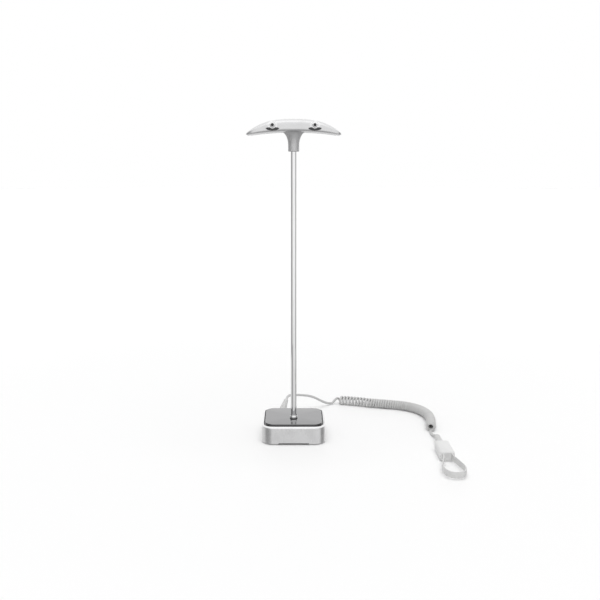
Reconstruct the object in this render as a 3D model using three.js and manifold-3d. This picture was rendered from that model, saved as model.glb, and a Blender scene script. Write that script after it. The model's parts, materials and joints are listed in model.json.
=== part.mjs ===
// Headphone display stand with a tethered sensor.
// A square weighted base carries a slim rod, the rod carries an arched saddle for the headband,
// and a curly tether leaves the back of the base and ends in a sensor with a strap loop.
// Millimetres, +Z up, front is -Y. The origin is the centre of the base on the table.

import * as THREE from 'three';
import { mergeVertices } from 'three/addons/utils/BufferGeometryUtils.js';
import Module from 'manifold-3d';

const wasm = await Module();
wasm.setup();

// ---------------------------------------------------------------- driving dimensions

const GAP = 0.3;                    // clearance between neighbouring pieces

// base
const BASE_SIDE = 50;
const BASE_CORNER = 9.5;
const BASE_FOOT_Z = 0.5;            // housing's lower edge, held off the table by the pad
const BASE_RIM_Z = 15;              // top of the housing's rim
const BASE_CHAMFER = 1.3;
const BASE_WALL = 2.2;
const DECK_TOP_Z = 14.4;            // floor of the recess that takes the top plate
const DECK_THICKNESS = 2;
const PLATE_SIDE = 45.2;
const PLATE_TOP_Z = 16.3;
const GASKET_WIDTH = 0.8;
const COVER_THICKNESS = 1.8;
const PAD_SIDE = 40;
const PAD_THICKNESS = 0.7;
const POST_OFFSET = 17.5;           // screw posts, from the base's centre
const POST_RADIUS = 2.8;
const SCREW_HOLE_RADIUS = 1.5;
const NOTCH_WIDTH = 24;             // shallow notch under the front edge
const NOTCH_HEIGHT = 0.9;

// rod
const ROD_Y = -6;                   // the rod stands a little in front of the base's centre
const ROD_RADIUS = 2.3;
const ROD_TAIL_RADIUS = 1.95;       // threaded end below the top plate
const ROD_TAIL_Z = 6.6;
const ROD_TOP_Z = 243;
const COLLAR_RADIUS = 3;
const COLLAR_FOOT_Z = 17.4;
const COLLAR_TOP_Z = 19.4;
const SEAL_RADIUS = 2.86;           // to the middle of the O-ring's section
const SEAL_THICKNESS = 0.44;
const WASHER_RADIUS = 4.4;
const NUT_ACROSS_FLATS = 7;

// inside the base
const BALLAST_LOW = [-14, -20.5, 3.4];
const BALLAST_HIGH = [14, 3, 12];
const BOARD_FOOT_Z = 4.6;
const BOARD_THICKNESS = 1;
const BUZZER_RADIUS = 4.5;
const BUZZER_PLACE = [-5.5, 10.6, 5.9];
const BUZZER_HEIGHT = 2.7;
const CELL_SIZE = [12, 12.5, 3.7];
const CELL_PLACE = [7.4, 12.4, 5.9];

// saddle
const SADDLE_HALF_WIDTH = 36;
const SADDLE_HALF_DEPTH = 12.5;
const SADDLE_TOP_Z = 251.5;
const SADDLE_UNDER_Z = 241.9;
const SADDLE_TOP_DROP = 10.6;       // fall of the top line from the middle to the tip
const SADDLE_TOP_POWER = 2.8;
const SADDLE_UNDER_RADIUS = 235;
const SADDLE_TIP_ROUND = 1.4;       // length over which the tip closes
const SADDLE_PLAN_TAPER = 12;       // length over which the depth narrows at each end
const SADDLE_TIP_HALF_DEPTH = 7;
const SADDLE_WALL = 2.3;
const SADDLE_EDGE_POWER = 6;        // superellipse power of the cross-section
const COVER_SPLIT_Y = 10.3;         // rear cover's joint, from the rod's axis
const NECK_RADIUS = 4.2;
const NECK_FOOT_Z = 227.2;
const NECK_FLARE_Z = 231.8;
const NECK_FLARE_REACH = 5.8;
const NECK_FLARE_HEIGHT = 10.3;
const SADDLE_SCREW_X = 15.9;
const SADDLE_SCREW_Z = 246.6;
const SADDLE_SCREW_HEAD_RADIUS = 2.2;
const SADDLE_SCREW_RECESS = 1.15;
const SADDLE_SCREW_RADIUS = 1.5;
const SADDLE_BOSS_RADIUS = 2.8;
const CRESCENT_DEPTH = 1.3;         // recess under each screw, one circle less another
const CRESCENT_LOWER = { radius: 4.1, rise: 0.5 };
const CRESCENT_UPPER = { radius: 5.2, rise: 3.5 };
const SET_SCREW_Z = 229.8;

// tether
const CORD_RADIUS = 1.05;
const CURLY_RADIUS = 3.85;
const OUTLET_X = -10;
const OUTLET_Z = 8.5;
const SENSOR_WIDTH = 11;
const SENSOR_LENGTH = 27;
const SENSOR_THICKNESS = 7.6;
const SENSOR_WALL = 1.1;
const SENSOR_BOOT_LENGTH = 20;
const STRAP_HEIGHT = 6;
const STRAP_THICKNESS = 1.1;
const STRAP_REACH = 38;

// Routes by hand, each from the base towards the sensor.
const BOOT_ROUTE = [
  [OUTLET_X, 20.8, OUTLET_Z], [OUTLET_X, 25, OUTLET_Z], [OUTLET_X, 29.5, 8.7], [-9.3, 37, 10.5], [-6.5, 50, 15.5],
];
const LEAD_ROUTE = [
  [-6.4, 50.3, 15.6], [-5.1, 56, 16.9], [-2.4, 61, 16.9], [2.1, 65.5, 15.8], [8, 69, 14.6],
  [13.6, 71.6, 13.2], [18.4, 74.4, 11], [22.8, 78, 7.9], [27.4, 82.8, 4.4], [31.6, 87, 2.1],
  [35.4, 89.6, 1.3], [39.3, 90.8, 1.3], [43.2, 91.1, 1.6],
];
const CURLY_ROUTE = [
  [43.6, 91, 3.9], [56, 86.6, 3.9], [69, 81.4, 3.9], [82.6, 77.4, 3.9], [95, 73.4, 3.9], [105.4, 66.4, 3.9],
  [112.4, 56.4, 3.9], [116, 44.8, 3.9], [116.4, 32.8, 3.9], [115, 21, 3.9], [113.4, 9.4, 3.9],
];
const TAIL_ROUTE = [
  [113.3, 9, 1.6], [112.6, 4.4, 1.2], [112.3, 0, 1.2], [112.8, -4.6, 1.6], [113.6, -8.6, 2.6],
  [114, -12.2, 3.6], [114, -14.6, 3.8],
];
const SENSOR_PLACE = [114, -14.9, SENSOR_THICKNESS / 2];

// ---------------------------------------------------------------- finishes

const finish = (color, roughness, metalness) => new THREE.MeshStandardMaterial({ color, roughness, metalness });

const SATIN_ALUMINIUM = finish(0xc9cacc, 0.34, 1);
const POLISHED_PLATE = finish(0xb3b4b6, 0.12, 1);
const CHROME = finish(0xe2e3e5, 0.08, 1);
const SADDLE_SILVER = finish(0xd2d3d4, 0.36, 0.85);
const STEEL = finish(0x8d8f92, 0.4, 1);
const BLACK_RUBBER = finish(0x17181a, 0.8, 0);
const BLACK_PLASTIC = finish(0x222326, 0.55, 0);
const WHITE_RUBBER = finish(0xefefed, 0.5, 0);
const WHITE_PLASTIC = finish(0xf4f4f3, 0.35, 0);
const BOARD_GREEN = finish(0x2f6b45, 0.5, 0);
const CELL_SILVER = finish(0xa9abae, 0.45, 0.6);
const BRASS = finish(0xc9a45a, 0.35, 1);

// ---------------------------------------------------------------- geometry helpers

// Keeps only position and index, drops collapsed triangles, and turns the faces outward.
function weld(geometry) {
  const bare = geometry.clone();
  bare.deleteAttribute('normal');
  bare.deleteAttribute('uv');
  const merged = mergeVertices(bare, 1e-5);
  const position = merged.getAttribute('position');
  const corner = (i) => new THREE.Vector3().fromBufferAttribute(position, i);
  const source = merged.index.array;
  const kept = [];
  let volume = 0;
  for (let i = 0; i < source.length; i += 3) {
    const [a, b, c] = [source[i], source[i + 1], source[i + 2]];
    if (a === b || b === c || a === c) continue;
    kept.push(a, b, c);
    volume += corner(a).dot(corner(b).cross(corner(c)));
  }
  if (volume < 0) kept.reverse();
  merged.setIndex(kept);
  return merged;
}

function toSolid(geometry) {
  const closed = weld(geometry);
  return new wasm.Manifold(new wasm.Mesh({
    numProp: 3,
    vertProperties: new Float32Array(closed.getAttribute('position').array),
    triVerts: new Uint32Array(closed.index.array),
  }));
}

function toGeometry(solid) {
  const mesh = solid.getMesh();
  const geometry = new THREE.BufferGeometry();
  geometry.setAttribute('position', new THREE.BufferAttribute(new Float32Array(mesh.vertProperties), 3));
  geometry.setIndex(Array.from(mesh.triVerts));
  return geometry;
}

const cut = (body, ...tools) => toGeometry(tools.reduce((solid, tool) => solid.subtract(toSolid(tool)), toSolid(body)));
const join = (body, ...extras) => toGeometry(extras.reduce((solid, extra) => solid.add(toSolid(extra)), toSolid(body)));
const common = (body, tool) => toGeometry(toSolid(body).intersect(toSolid(tool)));

// A box between two corners.
function block([x0, y0, z0], [x1, y1, z1]) {
  return new THREE.BoxGeometry(x1 - x0, y1 - y0, z1 - z0)
    .translate((x0 + x1) / 2, (y0 + y1) / 2, (z0 + z1) / 2);
}

// An upright round bar from z0 to z1 about (x, y).
function bar(radius, z0, z1, x = 0, y = 0, sides = 24) {
  return new THREE.CylinderGeometry(radius, radius, z1 - z0, sides)
    .rotateX(Math.PI / 2)
    .translate(x, y, (z0 + z1) / 2);
}

// A round bar along Y from y0 to y1 about (x, z).
function barAlongY(radius, y0, y1, x, z, sides = 20) {
  return new THREE.CylinderGeometry(radius, radius, y1 - y0, sides).translate(x, (y0 + y1) / 2, z);
}

// A closed [radius, z] profile turned about the Z axis.
function turned(profile, sides = 32) {
  const points = profile.map(([radius, z]) => new THREE.Vector2(radius, z));
  return new THREE.LatheGeometry(points, sides).rotateX(Math.PI / 2);
}

function roundedRectangle(width, height, corner) {
  const x = width / 2 - corner;
  const y = height / 2 - corner;
  const shape = new THREE.Shape();
  shape.absarc(x, y, corner, 0, Math.PI / 2);
  shape.absarc(-x, y, corner, Math.PI / 2, Math.PI);
  shape.absarc(-x, -y, corner, Math.PI, 1.5 * Math.PI);
  shape.absarc(x, -y, corner, 1.5 * Math.PI, 2 * Math.PI);
  return shape;
}

function slab(shape, z0, z1, curveSegments = 8) {
  return new THREE.ExtrudeGeometry(shape, { depth: z1 - z0, bevelEnabled: false, curveSegments })
    .translate(0, 0, z0);
}

const roundedSlab = (side, corner, z0, z1) => slab(roundedRectangle(side, side, corner), z0, z1);

// Skins a list of closed rings, each with the same number of points, and caps both ends.
function loft(rings) {
  const count = rings[0].length;
  const triangles = [];
  rings.slice(1).forEach((_, row) => {
    for (let i = 0; i < count; i += 1) {
      const next = (i + 1) % count;
      const [a, b] = [row * count + i, row * count + next];
      triangles.push(a, b, b + count, a, b + count, a + count);
    }
  });
  const last = (rings.length - 1) * count;
  for (let i = 1; i < count - 1; i += 1) {
    triangles.push(0, i + 1, i, last, last + i, last + i + 1);
  }
  const geometry = new THREE.BufferGeometry().setFromPoints(rings.flat());
  geometry.setIndex(triangles);
  return weld(geometry);
}

// A round section carried along a curve, with the radius given at each fraction of its length.
function taperedSweep(curve, stations, sides) {
  const frames = curve.computeFrenetFrames(stations.length - 1);
  return loft(stations.map(([fraction, radius]) => {
    const centre = curve.getPointAt(fraction);
    const near = Math.round(fraction * (stations.length - 1));
    const [u, v] = [frames.normals[near], frames.binormals[near]];
    return Array.from({ length: sides }, (_, i) => {
      const angle = (2 * Math.PI * i) / sides;
      return centre.clone()
        .addScaledVector(u, radius * Math.cos(angle))
        .addScaledVector(v, radius * Math.sin(angle));
    });
  }));
}

const smoothRoute = (points) => new THREE.CatmullRomCurve3(points.map((p) => new THREE.Vector3(...p)), false, 'centripetal');

function tube(route, radius, sides, steps) {
  const section = new THREE.Shape();
  for (let i = 0; i < sides; i += 1) {
    const angle = (2 * Math.PI * i) / sides;
    const point = [radius * Math.cos(angle), radius * Math.sin(angle)];
    if (i === 0) section.moveTo(...point);
    else section.lineTo(...point);
  }
  return new THREE.ExtrudeGeometry(section, { extrudePath: smoothRoute(route), steps, bevelEnabled: false });
}

function part(name, geometry, material) {
  const mesh = new THREE.Mesh(weld(geometry), material);
  mesh.name = name;
  return mesh;
}

const cornersOf = (offset) => [[1, 1], [-1, 1], [-1, -1], [1, -1]].map(([sx, sy]) => [sx * offset, sy * offset]);

// ---------------------------------------------------------------- base

// One horizontal ring of the housing's rounded square.
function squareRing(side, corner, z) {
  const stepsPerCorner = 8;
  const reach = side / 2 - corner;
  return [[1, 1], [-1, 1], [-1, -1], [1, -1]].flatMap(([sx, sy], quarter) => (
    Array.from({ length: stepsPerCorner + 1 }, (_, i) => {
      const angle = (quarter + i / stepsPerCorner) * (Math.PI / 2);
      return new THREE.Vector3(sx * reach + corner * Math.cos(angle), sy * reach + corner * Math.sin(angle), z);
    })));
}

function baseHousing() {
  const foot = 0.4;
  const shell = loft([
    squareRing(BASE_SIDE - 2 * foot, BASE_CORNER - foot, BASE_FOOT_Z),
    squareRing(BASE_SIDE, BASE_CORNER, BASE_FOOT_Z + foot),
    squareRing(BASE_SIDE, BASE_CORNER, BASE_RIM_Z - BASE_CHAMFER),
    squareRing(BASE_SIDE - 2 * BASE_CHAMFER, BASE_CORNER - BASE_CHAMFER, BASE_RIM_Z),
  ]);
  const recessSide = PLATE_SIDE + 2 * GAP;
  const insideSide = BASE_SIDE - 2 * BASE_WALL;
  const deckUnderZ = DECK_TOP_Z - DECK_THICKNESS;
  const hollow = cut(
    shell,
    roundedSlab(recessSide, BASE_CORNER - BASE_WALL, DECK_TOP_Z, BASE_RIM_Z + 1),
    roundedSlab(insideSide, BASE_CORNER - BASE_WALL, -1, deckUnderZ),
  );
  const postFootZ = BASE_FOOT_Z + 0.5 + COVER_THICKNESS + GAP;
  const posts = cornersOf(POST_OFFSET).map(([x, y]) => bar(POST_RADIUS, postFootZ, deckUnderZ + 0.5, x, y, 16));
  const pilots = cornersOf(POST_OFFSET).map(([x, y]) => bar(SCREW_HOLE_RADIUS, postFootZ - 1, deckUnderZ - 3, x, y, 12));
  const notch = block(
    [-NOTCH_WIDTH / 2, -BASE_SIDE / 2 - 1, -1],
    [NOTCH_WIDTH / 2, -BASE_SIDE / 2 + 1.4, BASE_FOOT_Z + NOTCH_HEIGHT],
  );
  return cut(
    join(hollow, ...posts),
    ...pilots,
    notch,
    bar(ROD_TAIL_RADIUS + GAP, deckUnderZ - 1, DECK_TOP_Z + 1, 0, ROD_Y),
    barAlongY(2.9, BASE_SIDE / 2 - BASE_WALL - 1, BASE_SIDE / 2 + 1, OUTLET_X, OUTLET_Z),
  );
}

function plateGasket() {
  const inner = PLATE_SIDE + 2 * GAP;
  const outer = inner + 2 * GASKET_WIDTH;
  const corner = BASE_CORNER - BASE_WALL;
  return cut(
    roundedSlab(outer, corner + GASKET_WIDTH, BASE_RIM_Z + GAP, PLATE_TOP_Z - 0.1),
    roundedSlab(inner, corner, BASE_RIM_Z, PLATE_TOP_Z + 1),
  );
}

function topPlate() {
  const easing = 0.25;
  const corner = BASE_CORNER - BASE_WALL - GAP;
  const plate = loft([
    squareRing(PLATE_SIDE, corner, DECK_TOP_Z + GAP),
    squareRing(PLATE_SIDE, corner, PLATE_TOP_Z - easing),
    squareRing(PLATE_SIDE - 2 * easing, corner - easing, PLATE_TOP_Z),
  ]);
  return cut(plate, bar(ROD_TAIL_RADIUS + GAP, DECK_TOP_Z - 1, PLATE_TOP_Z + 1, 0, ROD_Y));
}

function ballastBlock() {
  const roomForNut = bar(WASHER_RADIUS + 2 * GAP, BALLAST_LOW[2] - 1, BALLAST_HIGH[2] + 1, 0, ROD_Y);
  return cut(block(BALLAST_LOW, BALLAST_HIGH), roomForNut);
}

function bottomCover() {
  const z0 = BASE_FOOT_Z + 0.5;
  const side = BASE_SIDE - 2 * BASE_WALL - 2 * GAP;
  const plate = roundedSlab(side, BASE_CORNER - BASE_WALL - GAP, z0, z0 + COVER_THICKNESS);
  const seats = cornersOf(POST_OFFSET).flatMap(([x, y]) => [
    bar(2.5, z0 - 1, z0 + 1.2, x, y, 16),
    bar(SCREW_HOLE_RADIUS, z0, z0 + COVER_THICKNESS + 1, x, y, 12),
  ]);
  return cut(plate, ...seats);
}

function coverScrew(x, y) {
  const headZ = BASE_FOOT_Z + 0.6;
  const profile = [[0, headZ], [1.8, headZ], [2.2, headZ + 0.3], [2.2, headZ + 0.8], [1.2, headZ + 0.8], [1.2, 8], [0, 8]];
  return turned(profile, 16).translate(x, y, 0);
}

function footPad() {
  const notches = cornersOf(PAD_SIDE / 2).map(([x, y]) => bar(6, -1, 2, x, y, 32));
  return cut(roundedSlab(PAD_SIDE, 4, 0, PAD_THICKNESS), ...notches);
}

function hexNut(acrossFlats, bore, z0, z1, x, y) {
  const nut = new THREE.CylinderGeometry(acrossFlats / Math.sqrt(3), acrossFlats / Math.sqrt(3), z1 - z0, 6)
    .rotateX(Math.PI / 2)
    .translate(x, y, (z0 + z1) / 2);
  return cut(nut, bar(bore, z0 - 1, z1 + 1, x, y));
}

function ring(inner, outer, z0, z1, sides = 32) {
  return turned([[inner, z0], [outer, z0], [outer, z1], [inner, z1], [inner, z0]], sides);
}

// A collar with eased edges, or an O-ring, is a closed profile turned about the rod.
function footCollar() {
  const ease = 0.15;
  const [inner, outer, z0, z1] = [ROD_RADIUS + GAP, COLLAR_RADIUS, COLLAR_FOOT_Z, COLLAR_TOP_Z];
  return turned([
    [inner, z0], [outer - ease, z0], [outer, z0 + ease], [outer, z1 - ease], [outer - ease, z1], [inner, z1], [inner, z0],
  ], 28);
}

function footSeal() {
  const half = SEAL_THICKNESS / 2;
  const tall = 1.8 * half;          // squeezed flat against the rod, so it stands taller than it is thick
  const z = PLATE_TOP_Z + 0.1 + tall;
  const steps = 8;
  const profile = Array.from({ length: steps + 1 }, (_, i) => {
    const angle = (2 * Math.PI * (i % steps)) / steps;
    return [SEAL_RADIUS + half * Math.cos(angle), z + tall * Math.sin(angle)];
  });
  return turned(profile, 28);
}

function supportRod() {
  const shoulderZ = PLATE_TOP_Z + GAP;
  return turned([
    [0, ROD_TAIL_Z], [ROD_TAIL_RADIUS - 0.4, ROD_TAIL_Z], [ROD_TAIL_RADIUS, ROD_TAIL_Z + 0.4], [ROD_TAIL_RADIUS, shoulderZ],
    [ROD_RADIUS, shoulderZ], [ROD_RADIUS, ROD_TOP_Z - 0.4], [ROD_RADIUS - 0.4, ROD_TOP_Z], [0, ROD_TOP_Z],
  ], 28);
}

function alarmBoard() {
  const outline = new THREE.Shape([[-14, 5.4], [14, 5.4], [14, 16.6], [10.8, 19.8], [-10.8, 19.8], [-14, 16.6]]
    .map(([x, y]) => new THREE.Vector2(x, y)));
  return slab(outline, BOARD_FOOT_Z, BOARD_FOOT_Z + BOARD_THICKNESS);
}

function batteryCell() {
  const [width, depth, height] = CELL_SIZE;
  return slab(roundedRectangle(width, depth, 1.2), 0, height, 4);
}

function buildBase() {
  const base = new THREE.Group();
  const rodAxis = new THREE.Group();
  rodAxis.position.y = ROD_Y;
  rodAxis.add(
    part('foot_collar', footCollar(), CHROME),
    part('foot_o_ring', footSeal(), BLACK_RUBBER),
    part('support_rod', supportRod(), CHROME),
    part('rod_washer', ring(ROD_TAIL_RADIUS + GAP, WASHER_RADIUS, 11.3, 12.1, 24), STEEL),
    part('rod_nut', hexNut(NUT_ACROSS_FLATS, ROD_TAIL_RADIUS + GAP, 7.8, 11, 0, 0), STEEL),
  );
  base.add(
    part('base_housing', baseHousing(), SATIN_ALUMINIUM),
    part('plate_gasket', plateGasket(), BLACK_RUBBER),
    part('top_plate', topPlate(), POLISHED_PLATE),
    part('ballast_block', ballastBlock(), STEEL),
    part('bottom_cover', bottomCover(), BLACK_PLASTIC),
    part('foot_pad', footPad(), BLACK_RUBBER),
    part('alarm_board', alarmBoard(), BOARD_GREEN),
    part('buzzer', ring(0.8, BUZZER_RADIUS, 0, BUZZER_HEIGHT, 24).translate(...BUZZER_PLACE), BLACK_PLASTIC),
    part('battery_cell', batteryCell().translate(...CELL_PLACE), CELL_SILVER),
    ...cornersOf(POST_OFFSET).map(([x, y], i) => part(`cover_screw_${i + 1}`, coverScrew(x, y), STEEL)),
    rodAxis,
  );
  return base;
}

// ---------------------------------------------------------------- saddle (built about the rod's axis)

const saddleTop = (x) => SADDLE_TOP_Z - SADDLE_TOP_DROP * (Math.abs(x) / SADDLE_HALF_WIDTH) ** SADDLE_TOP_POWER;
const saddleUnder = (x) => SADDLE_UNDER_Z - x ** 2 / (2 * SADDLE_UNDER_RADIUS);

// Quarter-ellipse closing that falls from 1 to 0 over the last stretch before the tip.
function closing(x, stretch) {
  const into = Math.max(0, (Math.abs(x) - (SADDLE_HALF_WIDTH - stretch)) / stretch);
  return Math.sqrt(Math.max(0, 1 - into ** 2));
}

// Superellipse cross-section of the arch at x, thinned by an inset, with its rear half drawn out.
function saddleRing(x, inset, rearStretch) {
  const sides = 28;
  const middle = (saddleTop(x) + saddleUnder(x)) / 2;
  const halfHeight = ((saddleTop(x) - saddleUnder(x)) / 2 - inset) * Math.max(0.12, closing(x, SADDLE_TIP_ROUND));
  const narrowing = SADDLE_HALF_DEPTH - SADDLE_TIP_HALF_DEPTH;
  const halfDepth = SADDLE_TIP_HALF_DEPTH + narrowing * closing(x, SADDLE_PLAN_TAPER) - inset;
  const power = (value) => Math.sign(value) * Math.abs(value) ** (2 / SADDLE_EDGE_POWER);
  return Array.from({ length: sides }, (_, i) => {
    const angle = (2 * Math.PI * (i + 0.5)) / sides;
    const y = halfDepth * power(Math.cos(angle));
    return new THREE.Vector3(x, y > 0 ? y * rearStretch : y, middle + halfHeight * power(Math.sin(angle)));
  });
}

function archLoft() {
  const stations = 26;
  return loft(Array.from({ length: stations + 1 }, (_, i) => (
    saddleRing(-SADDLE_HALF_WIDTH * Math.cos((Math.PI * i) / stations), 0, 1))));
}

// Trumpet neck: a straight sleeve that opens in a concave quarter ellipse into the arch's underside.
function trumpetNeck() {
  const steps = 8;
  const flare = Array.from({ length: steps + 1 }, (_, i) => {
    const t = i / steps;
    return [NECK_RADIUS + NECK_FLARE_REACH * (1 - Math.sqrt(1 - t ** 2)), NECK_FLARE_Z + NECK_FLARE_HEIGHT * t];
  });
  const buriedZ = SADDLE_UNDER_Z + 1.2;
  return turned([
    [0, NECK_FOOT_Z], [NECK_RADIUS - 0.3, NECK_FOOT_Z], [NECK_RADIUS, NECK_FOOT_Z + 0.3],
    ...flare, [NECK_RADIUS + NECK_FLARE_REACH, buriedZ], [0, buriedZ],
  ], 28);
}

const SADDLE_SCREW_SIDES = [-SADDLE_SCREW_X, SADDLE_SCREW_X];

// The coring pockets open to the rear, two on each side of the solid middle.
function coringPockets() {
  const stations = 3;
  const bays = [[5.6, 11.4], [20.4, 27.4]].flatMap(([a, b]) => [[a, b], [-b, -a]]);
  return bays.map(([a, b]) => loft(Array.from({ length: stations + 1 }, (_, i) => (
    saddleRing(a + ((b - a) * i) / stations, SADDLE_WALL, 2)))));
}

// The crescent recess under a screw: what the lower circle holds and the upper one does not.
function crescentTool(x) {
  const back = -SADDLE_HALF_DEPTH + CRESCENT_DEPTH;
  const disc = ({ radius, rise }, from, to) => barAlongY(radius, from, to, x, SADDLE_SCREW_Z + rise, 32);
  return cut(disc(CRESCENT_LOWER, -20, back), disc(CRESCENT_UPPER, -21, back + 1));
}

function saddleBody() {
  const front = block([-50, -50, 200], [50, COVER_SPLIT_Y, 300]);
  const arch = join(common(archLoft(), front), trumpetNeck());
  const spotFaceY = -SADDLE_HALF_DEPTH + 0.35;
  const screwSeats = SADDLE_SCREW_SIDES.flatMap((x) => [
    barAlongY(SADDLE_SCREW_HEAD_RADIUS + 0.5, -20, spotFaceY, x, SADDLE_SCREW_Z),
    barAlongY(SADDLE_SCREW_RADIUS + GAP, -20, 20, x, SADDLE_SCREW_Z, 16),
    barAlongY(SADDLE_BOSS_RADIUS + GAP, COVER_SPLIT_Y - 6.3, 20, x, SADDLE_SCREW_Z, 20),
    crescentTool(x),
  ]);
  return cut(
    arch,
    ...coringPockets(),
    ...screwSeats,
    bar(ROD_RADIUS + GAP, NECK_FOOT_Z - 1, ROD_TOP_Z + GAP, 0, 0, 28),
    barAlongY(1.25 + 0.25, 0, NECK_RADIUS + 1, 0, SET_SCREW_Z, 16),
  );
}

function saddleRearCover() {
  const rear = block([-50, COVER_SPLIT_Y + GAP, 200], [50, 50, 300]);
  const skin = common(archLoft(), rear);
  const bosses = SADDLE_SCREW_SIDES.map((x) => (
    barAlongY(SADDLE_BOSS_RADIUS, COVER_SPLIT_Y - 5.8, COVER_SPLIT_Y + 1, x, SADDLE_SCREW_Z, 20)));
  const holes = SADDLE_SCREW_SIDES.map((x) => (
    barAlongY(SADDLE_SCREW_RADIUS + GAP, -5, COVER_SPLIT_Y + 0.9, x, SADDLE_SCREW_Z, 16)));
  return cut(join(skin, ...bosses), ...holes);
}

// Button-head screw with a six-sided recess, turned about Z and laid along Y.
function saddleScrew(x) {
  const [radius, shank, flange, dome] = [SADDLE_SCREW_HEAD_RADIUS, SADDLE_SCREW_RADIUS, 0.35, 1.1];
  const arc = Array.from({ length: 5 }, (_, i) => {
    const angle = (Math.PI / 2) * (i / 4) * 0.6;
    return [(radius - 0.1) * Math.cos(angle), -flange - dome * Math.sin(angle)];
  });
  const solid = turned([
    [0, 20.6], [shank, 20.6], [shank, 0], [radius, 0], [radius, -flange], ...arc, [0, arc[4][1]],
  ], 24);
  const recess = new THREE.CylinderGeometry(SADDLE_SCREW_RECESS, SADDLE_SCREW_RECESS, 2, 6)
    .rotateX(Math.PI / 2)
    .translate(0, 0, -1.6);
  return cut(solid, recess)
    .rotateX(-Math.PI / 2)
    .translate(x, -SADDLE_HALF_DEPTH + 0.25, SADDLE_SCREW_Z);
}

function setScrew() {
  const [inner, outer] = [ROD_RADIUS + 0.15, NECK_RADIUS - 0.15];
  const grub = barAlongY(1.25, inner, outer, 0, SET_SCREW_Z, 16);
  const socket = new THREE.CylinderGeometry(0.7, 0.7, 1.6, 6).translate(0, outer, SET_SCREW_Z);
  return cut(grub, socket);
}

function buildSaddle() {
  const saddle = new THREE.Group();
  saddle.position.y = ROD_Y;
  saddle.add(
    part('saddle_body', saddleBody(), SADDLE_SILVER),
    part('saddle_rear_cover', saddleRearCover(), SADDLE_SILVER),
    part('saddle_screw_left', saddleScrew(-SADDLE_SCREW_X), CHROME),
    part('saddle_screw_right', saddleScrew(SADDLE_SCREW_X), CHROME),
    part('neck_set_screw', setScrew(), STEEL),
  );
  return saddle;
}

// ---------------------------------------------------------------- tether

// Stations [fraction, radius] of a ribbed boot: a taper with rings that stand proud of it.
function ribbedStations(count, from, to, rootRadius, tipRadius, groove) {
  return Array.from({ length: count }, (_, i) => {
    const along = i / (count - 1);
    const radius = rootRadius + (tipRadius - rootRadius) * along;
    const grooved = i % 4 === 1 || i % 4 === 2;
    return [from + (to - from) * along, grooved ? radius : radius - groove];
  });
}

// The outlet boot has a flange inside the wall, a neck through it and a ribbed taper outside.
function outletBoot() {
  const curve = smoothRoute(BOOT_ROUTE);
  const seat = [[0, 3.5], [0.048, 3.5], [0.052, 2.6], [0.142, 2.6], [0.152, 4.3]];
  return taperedSweep(curve, [...seat, ...ribbedStations(25, 0.18, 1, 4.5, 1.75, 0.32)], 16);
}

function cordAnchor() {
  return barAlongY(2.1, 17.2, 20.5, OUTLET_X, OUTLET_Z, 20);
}

const halfBox = (z0, z1) => block([-40, -40, z0], [40, 40, z1]);

// The sensor is drawn about its boot's end, with +Y running away from the cord.
function sensorCase(z0, z1) {
  const ease = 0.8;
  const middle = SENSOR_LENGTH / 2;
  const outline = (inset, z) => Array.from({ length: 24 }, (_, i) => {
    const quarter = Math.floor(i / 6);
    const angle = (quarter + (i % 6) / 5) * (Math.PI / 2);
    const corner = 2 - Math.min(inset, 1.2);
    const [sx, sy] = [[1, 1], [-1, 1], [-1, -1], [1, -1]][quarter];
    return new THREE.Vector3(
      sx * (SENSOR_WIDTH / 2 - inset - corner) + corner * Math.cos(angle),
      middle + sy * (middle - inset - corner) + corner * Math.sin(angle),
      z,
    );
  });
  const top = SENSOR_THICKNESS / 2;
  const outer = loft([outline(ease, -top), outline(0, ease - top), outline(0, top - ease), outline(ease, top)]);
  const room = loft([outline(SENSOR_WALL, SENSOR_WALL - top), outline(SENSOR_WALL, top - SENSOR_WALL)]);
  const cordHole = barAlongY(1.9, -2, 3, 0, 0, 20);
  const strapSlots = [-1, 1].map((side) => block(
    [side * 3 - STRAP_THICKNESS / 2 - GAP, SENSOR_LENGTH - 3, -STRAP_HEIGHT / 2 + 0.6 - GAP],
    [side * 3 + STRAP_THICKNESS / 2 + GAP, SENSOR_LENGTH + 3, STRAP_HEIGHT / 2 - 0.6 + GAP],
  ));
  return common(cut(outer, room, cordHole, ...strapSlots), halfBox(z0, z1));
}

function sensorBoot() {
  const curve = new THREE.LineCurve3(new THREE.Vector3(0, 1.6, 0), new THREE.Vector3(0, -SENSOR_BOOT_LENGTH, 0));
  const seat = [[0, 1.6], [0.08, 1.6], [0.09, 2.5]];
  return taperedSweep(curve, [...seat, ...ribbedStations(31, 0.13, 1, 2.6, 2.2, 0.35)], 12);
}

// Strap loop: leaves the case's end in one slot, swings round in a teardrop and returns in the other.
function strapLoop() {
  const steps = 40;
  const start = SENSOR_LENGTH - 1.6;
  const halfWidth = 9.5;
  const middle = (t) => {
    const angle = 2 * Math.PI * t;
    return new THREE.Vector2(
      3 * Math.cos(angle / 2) + halfWidth * Math.sin(angle) * Math.sin(angle / 2) ** 2,
      start + (STRAP_REACH / 2) * (1 - Math.cos(angle)) + 1.6 * Math.sin(angle / 2),
    );
  };
  const side = (offset) => Array.from({ length: steps + 1 }, (_, i) => {
    const t = i / steps;
    const along = middle(Math.min(1, t + 0.002)).sub(middle(Math.max(0, t - 0.002))).normalize();
    return middle(t).add(new THREE.Vector2(along.y, -along.x).multiplyScalar(offset));
  });
  const outline = new THREE.Shape([...side(STRAP_THICKNESS / 2), ...side(-STRAP_THICKNESS / 2).reverse()]);
  return slab(outline, 0.6 - STRAP_HEIGHT / 2, STRAP_HEIGHT / 2 - 0.6);
}

function strapLock() {
  return block([-1.9, SENSOR_LENGTH - 6.5, -1.7], [1.9, SENSOR_LENGTH - 2.2, 1.7]);
}

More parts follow.
